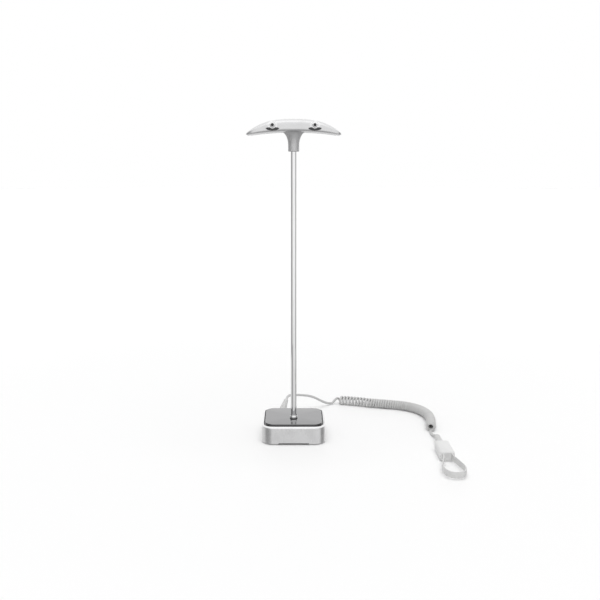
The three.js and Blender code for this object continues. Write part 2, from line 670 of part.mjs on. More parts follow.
function buildTether() {
  const tether = new THREE.Group();
  const sensor = new THREE.Group();
  sensor.position.set(...SENSOR_PLACE);
  sensor.translateY(-SENSOR_BOOT_LENGTH);
  sensor.rotation.z = Math.PI;
  const top = SENSOR_THICKNESS / 2;
  sensor.add(
    part('sensor_boot', sensorBoot(), WHITE_RUBBER),
    part('sensor_lower_shell', sensorCase(-top - 1, -GAP / 2), WHITE_PLASTIC),
    part('sensor_upper_shell', sensorCase(GAP / 2, top + 1), WHITE_PLASTIC),
    part('sensor_board', block([-3.8, 4, -1.6], [3.8, 18.5, -0.8]), BOARD_GREEN),
    part('strap_lock', strapLock(), STEEL),
    part('strap_loop', strapLoop(), WHITE_RUBBER),
  );
  tether.add(
    part('outlet_boot', outletBoot(), WHITE_RUBBER),
    part('cord_anchor', cordAnchor(), BRASS),
    part('lead_cord', tube(LEAD_ROUTE, CORD_RADIUS, 8, 20), WHITE_RUBBER),
    part('curly_cord', tube(CURLY_ROUTE, CURLY_RADIUS, 12, 22), WHITE_RUBBER),
    part('tail_cord', tube(TAIL_ROUTE, CORD_RADIUS, 8, 10), WHITE_RUBBER),
    sensor,
  );
  return tether;
}

const stand = new THREE.Group();
stand.add(buildBase(), buildSaddle(), buildTether());

export default stand;
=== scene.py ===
"""Headphone display stand: a square weighted base, a slim rod, an arched saddle and a tethered sensor.

Lengths inside the classes are millimetres and become metres when a mesh is made. +Z is up and the front
faces -Y.
"""

import json
import logging
import math
from dataclasses import dataclass, field
from enum import Enum
from typing import Sequence

import bmesh
import bpy
import numpy as np
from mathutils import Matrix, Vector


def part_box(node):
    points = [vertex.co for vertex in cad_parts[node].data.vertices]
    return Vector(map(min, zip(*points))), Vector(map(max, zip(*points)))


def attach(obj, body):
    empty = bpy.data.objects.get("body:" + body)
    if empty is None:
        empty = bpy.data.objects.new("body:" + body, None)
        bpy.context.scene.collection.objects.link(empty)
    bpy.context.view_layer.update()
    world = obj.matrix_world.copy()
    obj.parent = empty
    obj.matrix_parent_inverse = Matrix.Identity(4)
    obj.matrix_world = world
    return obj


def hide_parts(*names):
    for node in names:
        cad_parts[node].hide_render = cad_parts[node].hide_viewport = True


Array = np.ndarray
Colour = tuple[float, float, float]
Stretch = tuple[float, float, float]
Socket = bpy.types.NodeSocket

MM = 0.001
LOG = logging.getLogger("stand")
BLACK: Colour = (0.0, 0.0, 0.0)
EVEN: Stretch = (1.0, 1.0, 1.0)

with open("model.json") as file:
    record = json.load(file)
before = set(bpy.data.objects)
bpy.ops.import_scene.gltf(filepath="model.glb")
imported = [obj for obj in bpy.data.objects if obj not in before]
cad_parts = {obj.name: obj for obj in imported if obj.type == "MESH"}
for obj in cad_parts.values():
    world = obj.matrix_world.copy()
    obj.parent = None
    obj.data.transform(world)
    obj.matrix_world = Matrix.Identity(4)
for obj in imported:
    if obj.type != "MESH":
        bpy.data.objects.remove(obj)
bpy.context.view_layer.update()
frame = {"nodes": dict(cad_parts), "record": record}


# ---------------------------------------------------------------- names


class Body(Enum):
    """The two moving bodies of the CAD frame."""

    STAND = "stand"
    SADDLE = "saddle"


class Ends(Enum):
    """How the first and last rows of a skin end."""

    CAPPED = "capped"
    JOINED = "joined"


class Side(Enum):
    """The saddle's two screws, as the CAD frame names them."""

    LEFT = "left"
    RIGHT = "right"


class Ray(Enum):
    """The kinds of ray that a studio piece can be hidden from."""

    CAMERA = "camera"
    DIFFUSE = "diffuse"
    GLOSSY = "glossy"
    SHADOW = "shadow"


class Coat(Enum):
    """The record's material slots, then three finishes that only some pieces of a slot have: the saddle front with
    painted shade in its crescents and a painted highlight round its screw seats, the neck in a darker tint as
    painted shade, and the screws with painted shade in their sockets.
    """

    HOUSING = "housing"
    GASKET = "gasket"
    PLATE = "plate"
    BALLAST = "ballast"
    COVER = "cover"
    PAD = "pad"
    BOARD = "board"
    BUZZER = "buzzer"
    CELL = "cell"
    FASTENER = "fastener"
    CHROME = "chrome"
    SADDLE = "saddle"
    BRASS = "brass"
    BOOT = "boot"
    CORD = "cord"
    SENSOR = "sensor"
    STRAP = "strap"
    SADDLE_FRONT = "saddle front"
    SADDLE_NECK_SHADED = "saddle neck"
    SCREW = "screw"


# ---------------------------------------------------------------- shader building


class Signal:
    """A shader value that takes part in Python arithmetic; every operator adds one Math node."""

    def __init__(self, shader: "Shader", socket: Socket) -> None:
        """Wraps a socket.

        Args:
            shader: the tree that the socket belongs to.
            socket: the output socket that carries the value.
        """
        self.shader = shader
        self.socket = socket

    def _math(self, operation: str, first: "Signal | float", second: "Signal | float") -> "Signal":
        """Adds a Math node and returns its result."""
        node = self.shader.node("ShaderNodeMath", {"operation": operation}, {0: first, 1: second})
        return Signal(self.shader, node.outputs[0])

    def __add__(self, other: "Signal | float") -> "Signal":
        """Sum."""
        return self._math("ADD", self, other)

    __radd__ = __add__

    def __sub__(self, other: "Signal | float") -> "Signal":
        """Difference."""
        return self._math("SUBTRACT", self, other)

    def __rsub__(self, other: float) -> "Signal":
        """Difference with the number first."""
        return self._math("SUBTRACT", other, self)

    def __mul__(self, other: "Signal | float") -> "Signal":
        """Product."""
        return self._math("MULTIPLY", self, other)

    __rmul__ = __mul__

    def step(self, low: float, high: float) -> "Signal":
        """Rises smoothly from 0 at low to 1 at high."""
        node = self.shader.node(
            "ShaderNodeMapRange",
            {"interpolation_type": "SMOOTHSTEP"},
            {"Value": self, "From Min": low, "From Max": high, "To Min": 0.0, "To Max": 1.0},
        )
        return Signal(self.shader, node.outputs["Result"])


class Shader:
    """The node tree of one finish, with a Principled shader at its end."""

    def __init__(self, name: str) -> None:
        """Makes an empty material.

        Args:
            name: the material's name.
        """
        self.material = bpy.data.materials.new(name)
        self.material.use_nodes = True
        self.tree = self.material.node_tree
        self.tree.nodes.clear()
        self.surface = self.node("ShaderNodeBsdfPrincipled")
        self.node("ShaderNodeOutputMaterial", None, {"Surface": self.surface.outputs[0]})

    def node(self, kind: str, settings: dict | None = None, sockets: dict | None = None) -> bpy.types.Node:
        """Adds any node.

        Args:
            kind: the node's type.
            settings: its properties, set before its sockets.
            sockets: values or links by socket name or number.

        Returns:
            The node.
        """
        node = self.tree.nodes.new(kind)
        for key, value in (settings or {}).items():
            setattr(node, key, value)
        for key, value in (sockets or {}).items():
            self.feed(node.inputs[key], value)
        return node

    def feed(self, socket: Socket, value: "Signal | Socket | Colour | float") -> None:
        """Links or sets one input socket.

        Args:
            socket: the input.
            value: a Signal, an output socket, a number, or a colour of three numbers.
        """
        if isinstance(value, Signal):
            self.tree.links.new(value.socket, socket)
        elif isinstance(value, Socket):
            self.tree.links.new(value, socket)
        elif isinstance(value, tuple) and socket.type == "RGBA":
            socket.default_value = (*value, 1.0)
        else:
            socket.default_value = value

    def place(self, stretch: Stretch = EVEN) -> Socket:
        """Object coordinates in millimetres.

        Args:
            stretch: multipliers for x, y and z.

        Returns:
            The vector output.
        """
        source = self.node("ShaderNodeTexCoord").outputs["Object"]
        scale = tuple(s / MM for s in stretch)
        return self.node("ShaderNodeMapping", None, {"Vector": source, "Scale": scale}).outputs[0]

    def axis(self, name: str) -> Signal:
        """One Object coordinate, "X", "Y" or "Z", in millimetres."""
        split = self.node("ShaderNodeSeparateXYZ", None, {0: self.place()})
        return Signal(self, split.outputs[name])

    def attribute(self, name: str) -> Signal:
        """A number stored on the piece's points."""
        return Signal(self, self.node("ShaderNodeAttribute", {"attribute_name": name}).outputs["Fac"])

    def noise(self, grain: float, detail: float = 3.0, stretch: Stretch = EVEN) -> Signal:
        """Soft noise about 0.5.

        Args:
            grain: size of a grain in millimetres.
            detail: number of finer layers.
            stretch: multipliers that draw the grain out.

        Returns:
            The noise value.
        """
        sockets = {"Vector": self.place(stretch), "Scale": 1.0 / grain, "Detail": detail}
        return Signal(self, self.node("ShaderNodeTexNoise", None, sockets).outputs[0])

    def tint(self, low: "Colour | Socket", high: "Colour | Socket", mask: Signal) -> Socket:
        """Mixes two colours by a mask, 0 giving low and 1 giving high."""
        return self.node("ShaderNodeMix", {"data_type": "RGBA"}, {"Factor": mask, 6: low, 7: high}).outputs[2]

    def relief(self, height: Signal, depth_mm: float) -> Socket:
        """A bump from a height of 0 to 1 that stands for depth_mm."""
        sockets = {"Height": height, "Distance": depth_mm * MM, "Strength": 1.0}
        return self.node("ShaderNodeBump", None, sockets).outputs[0]

    def finish(self, **values: "Signal | Socket | Colour | float") -> bpy.types.Material:
        """Feeds the Principled shader's own sockets.

        Args:
            values: socket names with underscores for spaces.

        Returns:
            The material.
        """
        for name, value in values.items():
            self.feed(self.surface.inputs[name.replace("_", " ")], value)
        return self.material

    def glow(self, colour: "Colour | Socket") -> bpy.types.Material:
        """A surface that only shines, in one colour or a pattern of them."""
        return self.finish(
            Base_Color=BLACK, Specular_IOR_Level=0.0, Roughness=1.0, Emission_Color=colour, Emission_Strength=1.0
        )


# ---------------------------------------------------------------- finishes


def toned(tint: Colour, factor: float, lift: float = 0.0) -> Colour:
    """A tint times a factor, plus a lift, and at most white."""
    return tuple(min(1.0, c * factor + lift) for c in tint)


@dataclass(frozen=True)
class BlastedMetal:
    """Bead-blasted, anodised metal, with a polished cut above a given height where there is one."""

    name: str
    tint: Colour
    roughness: float = 0.3
    polished_above: float | None = None
    pit: float = 0.16
    pit_depth: float = 0.012
    cloud: float = 9.0
    polish_width: float = 0.1
    polish_gloss: float = 0.16

    def make(self) -> bpy.types.Material:
        """Builds the material: fine blasting pits, a faint cloud in the colour and uneven gloss."""
        shader = Shader(self.name)
        pits, cloud = shader.noise(self.pit, 2.0), shader.noise(self.cloud, 2.0)
        colour = shader.tint(toned(self.tint, 0.955), toned(self.tint, 1.03), cloud.step(0.35, 0.65))
        roughness = self.roughness + (cloud - 0.5) * 0.1 + (pits - 0.5) * 0.12
        if self.polished_above is not None:
            cut = shader.axis("Z").step(self.polished_above, self.polished_above + self.polish_width)
            polished = shader.tint(BLACK, toned(self.tint, 1.2), cut)
            colour = shader.tint(colour, polished, cut)
            roughness = roughness * (1 - cut) + cut * self.polish_gloss
            pits = pits * (1 - cut)
        return shader.finish(
            Base_Color=colour, Roughness=roughness, Metallic=1.0, Normal=shader.relief(pits, self.pit_depth)
        )


@dataclass(frozen=True)
class ShadeAndHighlightMetal:
    """Blasted or plated metal, polished in its spot faces, which are painted lighter as a painted highlight, and
    dull in its recesses, which are painted dark as painted shade.

    The piece carries both as attributes, "spot_face_highlight" and "recess", each from 0 to 1.
    """

    name: str
    tint: Colour
    roughness: float = 0.3
    pit_depth: float = 0.012
    pit: float = 0.16
    cloud: float = 9.0
    # painted shade: the dark colour of the recesses stands for the shadow in them
    recess: Colour = (0.1, 0.1, 0.102)
    # painted highlight: the light colour of the spot faces stands for the bright ring round the screws
    spot_face_highlight: Colour = (0.95, 0.95, 0.95)

    def make(self) -> bpy.types.Material:
        """Builds the material: the metal's pits and cloud, then the spot faces with their painted highlight and
        the recesses with their painted shade over them.
        """
        shader = Shader(self.name)
        pits, cloud = shader.noise(self.pit, 2.0), shader.noise(self.cloud, 2.0)
        # painted shade mask in the recesses, and painted highlight mask on the spot faces
        recess_shade = shader.attribute("recess").step(0.2, 0.8)
        highlight_mask = shader.attribute("spot_face_highlight").step(0.0, 1.0)
        metal = shader.tint(toned(self.tint, 0.955), self.tint, cloud.step(0.35, 0.65))
        ring_highlight = shader.tint(metal, self.spot_face_highlight, highlight_mask)
        roughness = (self.roughness + (cloud - 0.5) * 0.1 + (pits - 0.5) * 0.1) * (1 - highlight_mask * 0.6)
        return shader.finish(
            Base_Color=shader.tint(ring_highlight, self.recess, recess_shade),
            Roughness=roughness * (1 - recess_shade) + recess_shade * 0.7,
            Metallic=1 - recess_shade * 0.5,
            Normal=shader.relief(pits, self.pit_depth),
        )


@dataclass(frozen=True)
class PolishedMetal:
    """Polished or plated metal with hairline scratches, handling haze and a slightly uneven tone."""

    name: str
    tint: Colour
    roughness: float = 0.08
    hairline: Stretch = EVEN
    scratch_depth: float = 0.002
    scratch: float = 0.35
    haze: float = 11.0

    def make(self) -> bpy.types.Material:
        """Builds the material: long fine scratches, wide haze in the gloss."""
        shader = Shader(self.name)
        hair, haze = shader.noise(self.scratch, 4.0, self.hairline), shader.noise(self.haze, 3.0)
        return shader.finish(
            Base_Color=shader.tint(toned(self.tint, 0.93), self.tint, hair.step(0.3, 0.6)),
            Roughness=self.roughness + haze.step(0.48, 0.75) * 0.07 + (hair - 0.5) * 0.05,
            Metallic=1.0,
            Normal=shader.relief(hair, self.scratch_depth),
        )


@dataclass(frozen=True)
class CastMetal:
    """Rough cast iron with a sandy skin."""

    name: str
    tint: Colour
    sand: float = 0.9
    sand_depth: float = 0.15

    def make(self) -> bpy.types.Material:
        """Builds the material: sand grain and darker hollows."""
        shader = Shader(self.name)
        sand = shader.noise(self.sand, 6.0)
        return shader.finish(
            Base_Color=shader.tint(toned(self.tint, 0.5), self.tint, sand.step(0.3, 0.6)),
            Roughness=0.55 + sand * 0.3,
            Metallic=0.8,
            Normal=shader.relief(sand, self.sand_depth),
        )


@dataclass(frozen=True)
class Rubber:
    """Matt rubber or soft moulding with a fine skin and a little dust."""

    name: str
    tint: Colour
    roughness: float = 0.6
    skin: float = 0.22
    skin_depth: float = 0.02
    sheen: float = 0.0
    dust: float = 5.0

    def make(self) -> bpy.types.Material:
        """Builds the material: skin grain, a dusty cloud in the colour and the gloss."""
        shader = Shader(self.name)
        skin, dust = shader.noise(self.skin, 4.0), shader.noise(self.dust, 3.0)
        return shader.finish(
            Base_Color=shader.tint(self.tint, toned(self.tint, 0.94, 0.012), dust.step(0.42, 0.72)),
            Roughness=self.roughness + (dust - 0.5) * 0.16 + (skin - 0.5) * 0.1,
            Normal=shader.relief(skin, self.skin_depth),
            Sheen_Weight=self.sheen,
            Sheen_Roughness=0.5,
        )


@dataclass(frozen=True)
class Jacket:
    """Extruded cord jacket: flow marks along the cord, which carries its length as an attribute."""

    name: str
    tint: Colour
    roughness: float = 0.36
    flow_per_mm: float = 0.06
    skin: float = 0.14
    skin_depth: float = 0.006

    def make(self) -> bpy.types.Material:
        """Builds the material: slow waves of tone and gloss along the cord and a fine skin."""
        shader = Shader(self.name)
        along = shader.attribute("cord_along") * self.flow_per_mm
        skin = shader.noise(self.skin, 3.0)
        slow = shader.node(
            "ShaderNodeTexNoise", {"noise_dimensions": "1D"}, {"W": along, "Scale": 1.0, "Detail": 2.0}
        )
        wave = Signal(shader, slow.outputs[0])
        return shader.finish(
            Base_Color=shader.tint(toned(self.tint, 0.95), self.tint, wave.step(0.3, 0.6)),
            Roughness=self.roughness + (wave - 0.5) * 0.14 + (skin - 0.5) * 0.06,
            Normal=shader.relief(skin, self.skin_depth),
            Coat_Roughness=0.3,
        )


@dataclass(frozen=True)
class Moulded:
    """Hard injection moulding with a spark-eroded texture."""

    name: str
    tint: Colour
    roughness: float = 0.32
    spark: float = 0.12
    spark_depth: float = 0.01
    flow: float = 14.0

    def make(self) -> bpy.types.Material:
        """Builds the material: spark texture, and flow marks in the tone."""
        shader = Shader(self.name)
        spark, flow = shader.noise(self.spark, 2.0), shader.noise(self.flow, 2.0, (1.0, 0.3, 1.0))
        return shader.finish(
            Base_Color=shader.tint(toned(self.tint, 0.96), self.tint, flow.step(0.35, 0.6)),
            Roughness=self.roughness + (spark - 0.5) * 0.14 + (flow - 0.5) * 0.1,
            Normal=shader.relief(spark, self.spark_depth),
        )


@dataclass(frozen=True)
class SolderMask:
    """Circuit board with copper runs under a glossy mask."""

    name: str
    tint: Colour
    run_scale: float = 0.4
    run_depth: float = 0.04

    def make(self) -> bpy.types.Material:
        """Builds the material: straight runs between long, staggered pads, and small waves in the gloss."""
        shader = Shader(self.name)
        runs = {
            "Vector": shader.place(), "Scale": self.run_scale, "Mortar Size": 0.05, "Mortar Smooth": 0.2,
            "Brick Width": 2.4, "Row Height": 0.5,
        }
        copper = Signal(shader, shader.node("ShaderNodeTexBrick", {"offset": 0.5}, runs).outputs["Fac"])
        return shader.finish(
            Base_Color=shader.tint(self.tint, toned(self.tint, 1.7, 0.02), copper),
            Roughness=0.3 + shader.noise(2.0) * 0.1,
            Normal=shader.relief(copper, self.run_depth),
            Coat_Weight=0.3,
        )


class Paintbox:
    """Makes each finish once and hands it out by its name."""

    def __init__(self) -> None:
        """Lists every finish."""
        self.finishes = {
            Coat.HOUSING: BlastedMetal("housing_satin", (0.735, 0.735, 0.74), 0.27, polished_above=13.5),
            # the black gasket rubber also stands as painted shade for the dark lines round the plate and at the
            # rod's foot
            Coat.GASKET: Rubber("gasket_black_shadow_line", (0.018, 0.018, 0.02), 0.55),
            Coat.PLATE: PolishedMetal("plate_polished", (0.3, 0.3, 0.305), 0.07, (0.06, 1.0, 1.0)),
            Coat.BALLAST: CastMetal("ballast_cast", (0.16, 0.16, 0.17)),
            Coat.COVER: Moulded("cover_black", (0.022, 0.022, 0.024), 0.45, 0.25, 0.03),
            Coat.PAD: Rubber("pad_black", (0.02, 0.02, 0.021), 0.85, 0.5, 0.06),
            Coat.BOARD: SolderMask("board_green", (0.02, 0.11, 0.045)),
            Coat.BUZZER: Moulded("buzzer_black", (0.02, 0.02, 0.02), 0.4),
            Coat.CELL: PolishedMetal("cell_foil", (0.62, 0.62, 0.64), 0.3, (1.0, 0.3, 1.0), 0.02),
            Coat.FASTENER: PolishedMetal("fastener_zinc", (0.5, 0.5, 0.52), 0.26, (1.0, 1.0, 0.2), 0.006),
            Coat.CHROME: PolishedMetal("chrome_plated", (0.88, 0.88, 0.885), 0.035, (1.0, 1.0, 0.05), 0.0008),
            Coat.SADDLE: BlastedMetal("saddle_satin", (0.74, 0.74, 0.745), 0.3),
            # painted shade in the crescents and painted highlight round the screw seats
            Coat.SADDLE_FRONT: ShadeAndHighlightMetal("saddle_front_shade_highlight_satin", (0.74, 0.74, 0.745), 0.3),
            # painted shade: the neck's finish is a darker tint of the saddle's, for the shade under the arch
            Coat.SADDLE_NECK_SHADED: BlastedMetal("neck_shaded_satin", (0.69, 0.69, 0.695), 0.64),
            # painted shade in the hexagon sockets
            Coat.SCREW: ShadeAndHighlightMetal("screw_shaded_socket_plated", (0.86, 0.86, 0.865), 0.14, 0.001),
            Coat.BRASS: PolishedMetal("brass_turned", (0.78, 0.56, 0.24), 0.2, (1.0, 0.1, 1.0), 0.006),
            Coat.BOOT: Rubber("boot_white", (0.66, 0.66, 0.655), 0.5, 0.18, 0.01, 0.05),
            Coat.CORD: Jacket("cord_white", (0.57, 0.57, 0.567)),
            Coat.SENSOR: Moulded("sensor_white", (0.76, 0.76, 0.757), 0.3),
            Coat.STRAP: Rubber("strap_white", (0.68, 0.68, 0.675), 0.42, 0.3, 0.012, 0.05),
        }
        self.made: dict[Coat, bpy.types.Material] = {}

    def material(self, coat: Coat) -> bpy.types.Material:
        """The material of one finish."""
        if coat not in self.made:
            self.made[coat] = self.finishes[coat].make()
        return self.made[coat]

    def dress_nodes(self) -> None:
        """Gives every CAD node that is still shown the material of its slot."""
        for part in frame["record"]["subparts"]:
            node = frame["nodes"][part["node"]]
            material = self.material(Coat(part["material_slot"]))
            if node.material_slots:
                for slot in node.material_slots:
                    slot.material = material
            else:
                node.data.materials.append(material)


# ---------------------------------------------------------------- shapes


@dataclass(frozen=True)
class Span:
    """A CAD node's box at rest, in millimetres."""

    low: Array
    high: Array

    @classmethod
    def of(cls, node: str) -> "Span":
        """Reads a node's box from the frame."""
        low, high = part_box(node)
        return cls(np.array(low) / MM, np.array(high) / MM)

    @property
    def centre(self) -> Array:
        """Middle of the box."""
        return (self.low + self.high) / 2

    @property
    def size(self) -> Array:
        """Lengths of its sides."""
        return self.high - self.low


def smooth(value: Array, low: float, high: float) -> Array:
    """Rises from 0 at low to 1 at high by 3t squared minus 2t cubed."""
    t = np.clip((value - low) / (high - low), 0.0, 1.0)
    return t * t * (3.0 - 2.0 * t)


def unit(vectors: Array) -> Array:
    """Vectors made one long."""
    return vectors / np.maximum(np.linalg.norm(vectors, axis=-1, keepdims=True), 1e-12)


def read_between(where: Array, places: Array, rows: Array) -> Array:
    """Rows of numbers that belong to rising places, read at other places by straight lines between them."""
    return np.stack([np.interp(where, places, column) for column in rows.T], -1)


def full_turn(samples: int) -> Array:
    """Even angles round a full turn, the last one short of the first."""
    return np.linspace(0, 2 * np.pi, samples, endpoint=False)


def quads(rows: int, columns: int, round_rows: bool = False, round_columns: bool = True) -> Array:
    """Faces between neighbouring points of a grid, which may close on itself either way.

    Args:
        rows: number of rows.
        columns: points in a row.
        round_rows: whether the last row joins the first.
        round_columns: whether a row's last point joins its first.

    Returns:
        Vertex numbers, four to a face.
    """
    index = np.arange(rows * columns).reshape(rows, columns)
    index = np.pad(index, ((0, int(round_rows)), (0, int(round_columns))), mode="wrap")
    return np.stack([index[:-1, :-1], index[:-1, 1:], index[1:, 1:], index[1:, :-1]], -1).reshape(-1, 4)


def placed(name: str, mesh: bpy.types.Mesh, material: bpy.types.Material) -> bpy.types.Object:
    """Gives a mesh its material and puts it in the scene.

    Args:
        name: the object's name.
        mesh: its shape, in its place.
        material: its finish.

    Returns:
        The object.
    """
    mesh.materials.append(material)
    made = bpy.data.objects.new(name, mesh)
    bpy.context.scene.collection.objects.link(made)
    return made


@dataclass
class Skin:
    """A closed surface on a grid: columns run round each row, and rows follow one another."""

    name: str
    points: Array
    ends: Ends = Ends.CAPPED
    sharp: float = 40.0
    marks: dict[str, Array] = field(default_factory=dict)

    def _faces(self) -> tuple[Array, Array]:
        """Quads between neighbouring rows, and fans on the end rows.

        Returns:
            The vertices and the faces, with triangles written as quads whose last two corners are one.
        """
        rows, columns = self.points.shape[:2]
        vertices = self.points.reshape(-1, 3)
        if self.ends is Ends.JOINED:
            return vertices, quads(rows, columns, round_rows=True)
        ring = np.arange(columns)
        after, last = np.roll(ring, -1), (rows - 1) * columns
        pole = np.full(columns, rows * columns)
        start = np.stack([after, ring, pole, pole], -1)
        finish = np.stack([last + ring, last + after, pole + 1, pole + 1], -1)
        poles = np.stack([self.points[0].mean(0), self.points[-1].mean(0)])
        return np.concatenate([vertices, poles]), np.concatenate([quads(rows, columns), start, finish])

    def _mesh(self) -> bpy.types.Mesh:
        """The mesh in metres, turned outwards by the sign of its volume, with its marks and without doubles."""
        vertices, faces = self._faces()
        a, b, c, d = (vertices[faces[:, i]] for i in range(4))
        volume = np.einsum("ij,ij->i", a, np.cross(b, c) + np.cross(c, d)).sum()
        if volume < 0:
            faces = faces[:, ::-1]
        mesh = bpy.data.meshes.new(self.name)
        mesh.from_pydata((vertices * MM).tolist(), [], [list(dict.fromkeys(face)) for face in faces.tolist()])
        for mark, values in self.marks.items():
            every = np.broadcast_to(values, self.points.shape[:2])
            poles = [every[0, 0], every[-1, 0]][: len(vertices) - every.size]
            layer = mesh.attributes.new(mark, "FLOAT", "POINT")
            layer.data.foreach_set("value", np.append(every.ravel(), poles).astype(np.float32))
        solid = bmesh.new()
        solid.from_mesh(mesh)
        bmesh.ops.remove_doubles(solid, verts=solid.verts, dist=1e-7)
        bmesh.ops.dissolve_degenerate(solid, edges=solid.edges, dist=1e-8)
        solid.to_mesh(mesh)
        solid.free()
        mesh.shade_smooth()
        mesh.set_sharp_from_angle(angle=math.radians(self.sharp))
        return mesh

    def piece(
        self, body: Body, slot: Coat, paint: Paintbox, replaced: Sequence[str], special: Coat | None = None
    ) -> bpy.types.Object:
        """Makes the object and places it on its body.

        Args:
            body: what it rides on.
            slot: the record's material slot.
            paint: the finishes.
            replaced: the CAD nodes that it stands for.
            special: a finish of its own, where the piece differs from the rest of its slot.

        Returns:
            The object.
        """
        mesh = self._mesh()
        made = placed(self.name, mesh, paint.material(special or slot))
        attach(made, body.value)
        if replaced:
            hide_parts(*replaced)
        LOG.info("%s: %d faces on %s", self.name, len(mesh.polygons), body.value)
        return made


def turned(profile: Array, axis_y: float, sides: int) -> Array:
    """A profile of (radius, height) turned about an upright axis: (r cos a, axis + r sin a, h).

    Args:
        profile: rows of radius and height.
        axis_y: where the axis stands, front to back.
        sides: samples round the axis.

    Returns:
        Grid points.
    """
    angle = full_turn(sides)
    radius, height = profile[:, :1], profile[:, 1:]
    return np.stack(
        [radius * np.cos(angle), radius * np.sin(angle) + axis_y, np.repeat(height, sides, axis=1)], -1
    )


def eased(profile: Sequence[tuple[float, float]], radius: float, steps: int = 5) -> Array:
    """Rounds the corners of an open profile.

    Each inner corner is replaced by a quadratic curve from a point one radius before it to a point one
    radius after it.

    Args:
        profile: corner points.
        radius: how far from the corner the rounding starts.
        steps: points on each rounding.

    Returns:
        The rounded profile as rows of two numbers.
    """
    corner = np.array(profile, float)
    middle = corner[1:-1]
    back, ahead = corner[:-2] - middle, corner[2:] - middle
    near, far = np.linalg.norm(back, axis=1), np.linalg.norm(ahead, axis=1)
    reach = np.minimum(np.minimum(near, far) / 2, radius)[:, None]
    start = middle + reach * back / np.maximum(near, 1e-9)[:, None]
    stop = middle + reach * ahead / np.maximum(far, 1e-9)[:, None]
    t = np.linspace(0, 1, steps)[:, None, None]
    arcs = (1 - t) ** 2 * start + 2 * t * (1 - t) * middle + t**2 * stop
    return np.concatenate([corner[:1], arcs.transpose(1, 0, 2).reshape(-1, 2), corner[-1:]])


def rounded_squares(section: Array, corner: Array, per_side: int = 40, per_corner: int = 24) -> Array:
    """Level squares with round corners, one above another.

    A corner is a quarter circle about (half - corner, half - corner), and a side is the straight between
    two of them.

    Args:
        section: half side and height of each row.
        corner: corner radius of each row.
        per_side: samples along a side.
        per_corner: samples round a corner.

    Returns:
        Grid points.
    """
    half, corner = section[:, :1], corner[:, None]
    arc = (np.arange(4)[:, None] + np.linspace(0, 1, per_corner)) * (np.pi / 2)
    sign_x, sign_y = np.array([1, -1, -1, 1])[:, None], np.array([1, 1, -1, -1])[:, None]
    reach = (half - corner)[:, :, None]
    corner_x = sign_x * reach + corner[:, :, None] * np.cos(arc)
    corner_y = sign_y * reach + corner[:, :, None] * np.sin(arc)
    share = np.linspace(0, 1, per_side + 1)[1:-1]
    next_x, next_y = np.roll(corner_x[:, :, :1], -1, axis=1), np.roll(corner_y[:, :, :1], -1, axis=1)
    side_x = corner_x[:, :, -1:] * (1 - share) + next_x * share
    side_y = corner_y[:, :, -1:] * (1 - share) + next_y * share
    x = np.concatenate([corner_x, side_x], -1).reshape(len(section), -1)
    y = np.concatenate([corner_y, side_y], -1).reshape(len(section), -1)
    return np.stack([x, y, np.repeat(section[:, 1:], x.shape[1], axis=1)], -1)


def square_walk(across: int, upright: int) -> tuple[Array, Array]:
    """Even steps round the square from -1 to 1: up the left side, over the top, down the right and back.

    Args:
        across: steps along the top and along the bottom.
        upright: steps up each side.

    Returns:
        How far across and how far up each step is.
    """
    climb = np.linspace(-1, 1, upright, endpoint=False)
    run = np.linspace(-1, 1, across, endpoint=False)
    p = np.concatenate([np.full(upright, -1.0), run, np.full(upright, 1.0), -run])
    q = np.concatenate([climb, np.full(across, 1.0), -climb, np.full(across, -1.0)])
    return p, q


def superellipse(p: Array, q: Array, power: Array | float) -> tuple[Array, Array]:
    """Draws a square walk in by (|p|^n + |q|^n)^(-1/n), which rounds its corners."""
    pull = (np.abs(p) ** power + np.abs(q) ** power) ** (-1 / power)
    return p * pull, q * pull


@dataclass
class Route:
    """A smooth curve through given points, read by its length."""

    points: Array
    per_piece: int = 40
    line: Array = field(init=False)
    length: Array = field(init=False)

    def __post_init__(self) -> None:
        """Samples the centripetal Catmull-Rom curve.

        The knots are set apart by the square root of the distance between points, and each piece is the
        cubic whose end slopes come from the three knots about it.
        """
        p = np.array(self.points, float)
        p = np.concatenate([[2 * p[0] - p[1]], p, [2 * p[-1] - p[-2]]])
        gap = np.sqrt(np.linalg.norm(np.diff(p, axis=0), axis=1))[:, None]
        before, here, after = gap[:-2], gap[1:-1], gap[2:]
        p0, p1, p2, p3 = p[:-3], p[1:-2], p[2:-1], p[3:]
        m1 = here * ((p1 - p0) / before - (p2 - p0) / (before + here) + (p2 - p1) / here)
        m2 = here * ((p2 - p1) / here - (p3 - p1) / (here + after) + (p3 - p2) / after)
        t = np.linspace(0, 1, self.per_piece, endpoint=False)[None, :, None]
        m1, m2, p1, p2 = m1[:, None], m2[:, None], p1[:, None], p2[:, None]
        curve = (
            (2 * t**3 - 3 * t**2 + 1) * p1
            + (t**3 - 2 * t**2 + t) * m1
            + (3 * t**2 - 2 * t**3) * p2
            + (t**3 - t**2) * m2
        )
        self.line = np.concatenate([curve.reshape(-1, 3), p[-2:-1]])
        steps = np.linalg.norm(np.diff(self.line, axis=0), axis=1)
        self.length = np.concatenate([[0.0], np.cumsum(steps)])

    @property
    def total(self) -> float:
        """Whole length of the curve."""
        return float(self.length[-1])

    def at(self, distance: Array) -> Array:
        """Points at given distances from the start."""
        return read_between(distance, self.length, self.line)

    def nearest(self, point: Array) -> float:
        """The distance from the start at which the curve passes closest to a point."""
        return float(self.length[np.argmin(np.linalg.norm(self.line - point, axis=1))])


def level_frames(line: Array) -> tuple[Array, Array]:
    """Frames along a line that is never upright.

    The side is the line's direction crossed with up, and the crown is the side crossed with the direction.

    Args:
        line: points of the line.

    Returns:
        Sides and crowns.
    """
    direction = unit(np.gradient(line, axis=0))
    side = unit(np.cross(direction, np.array([0.0, 0.0, 1.0])))
    return side, np.cross(side, direction)


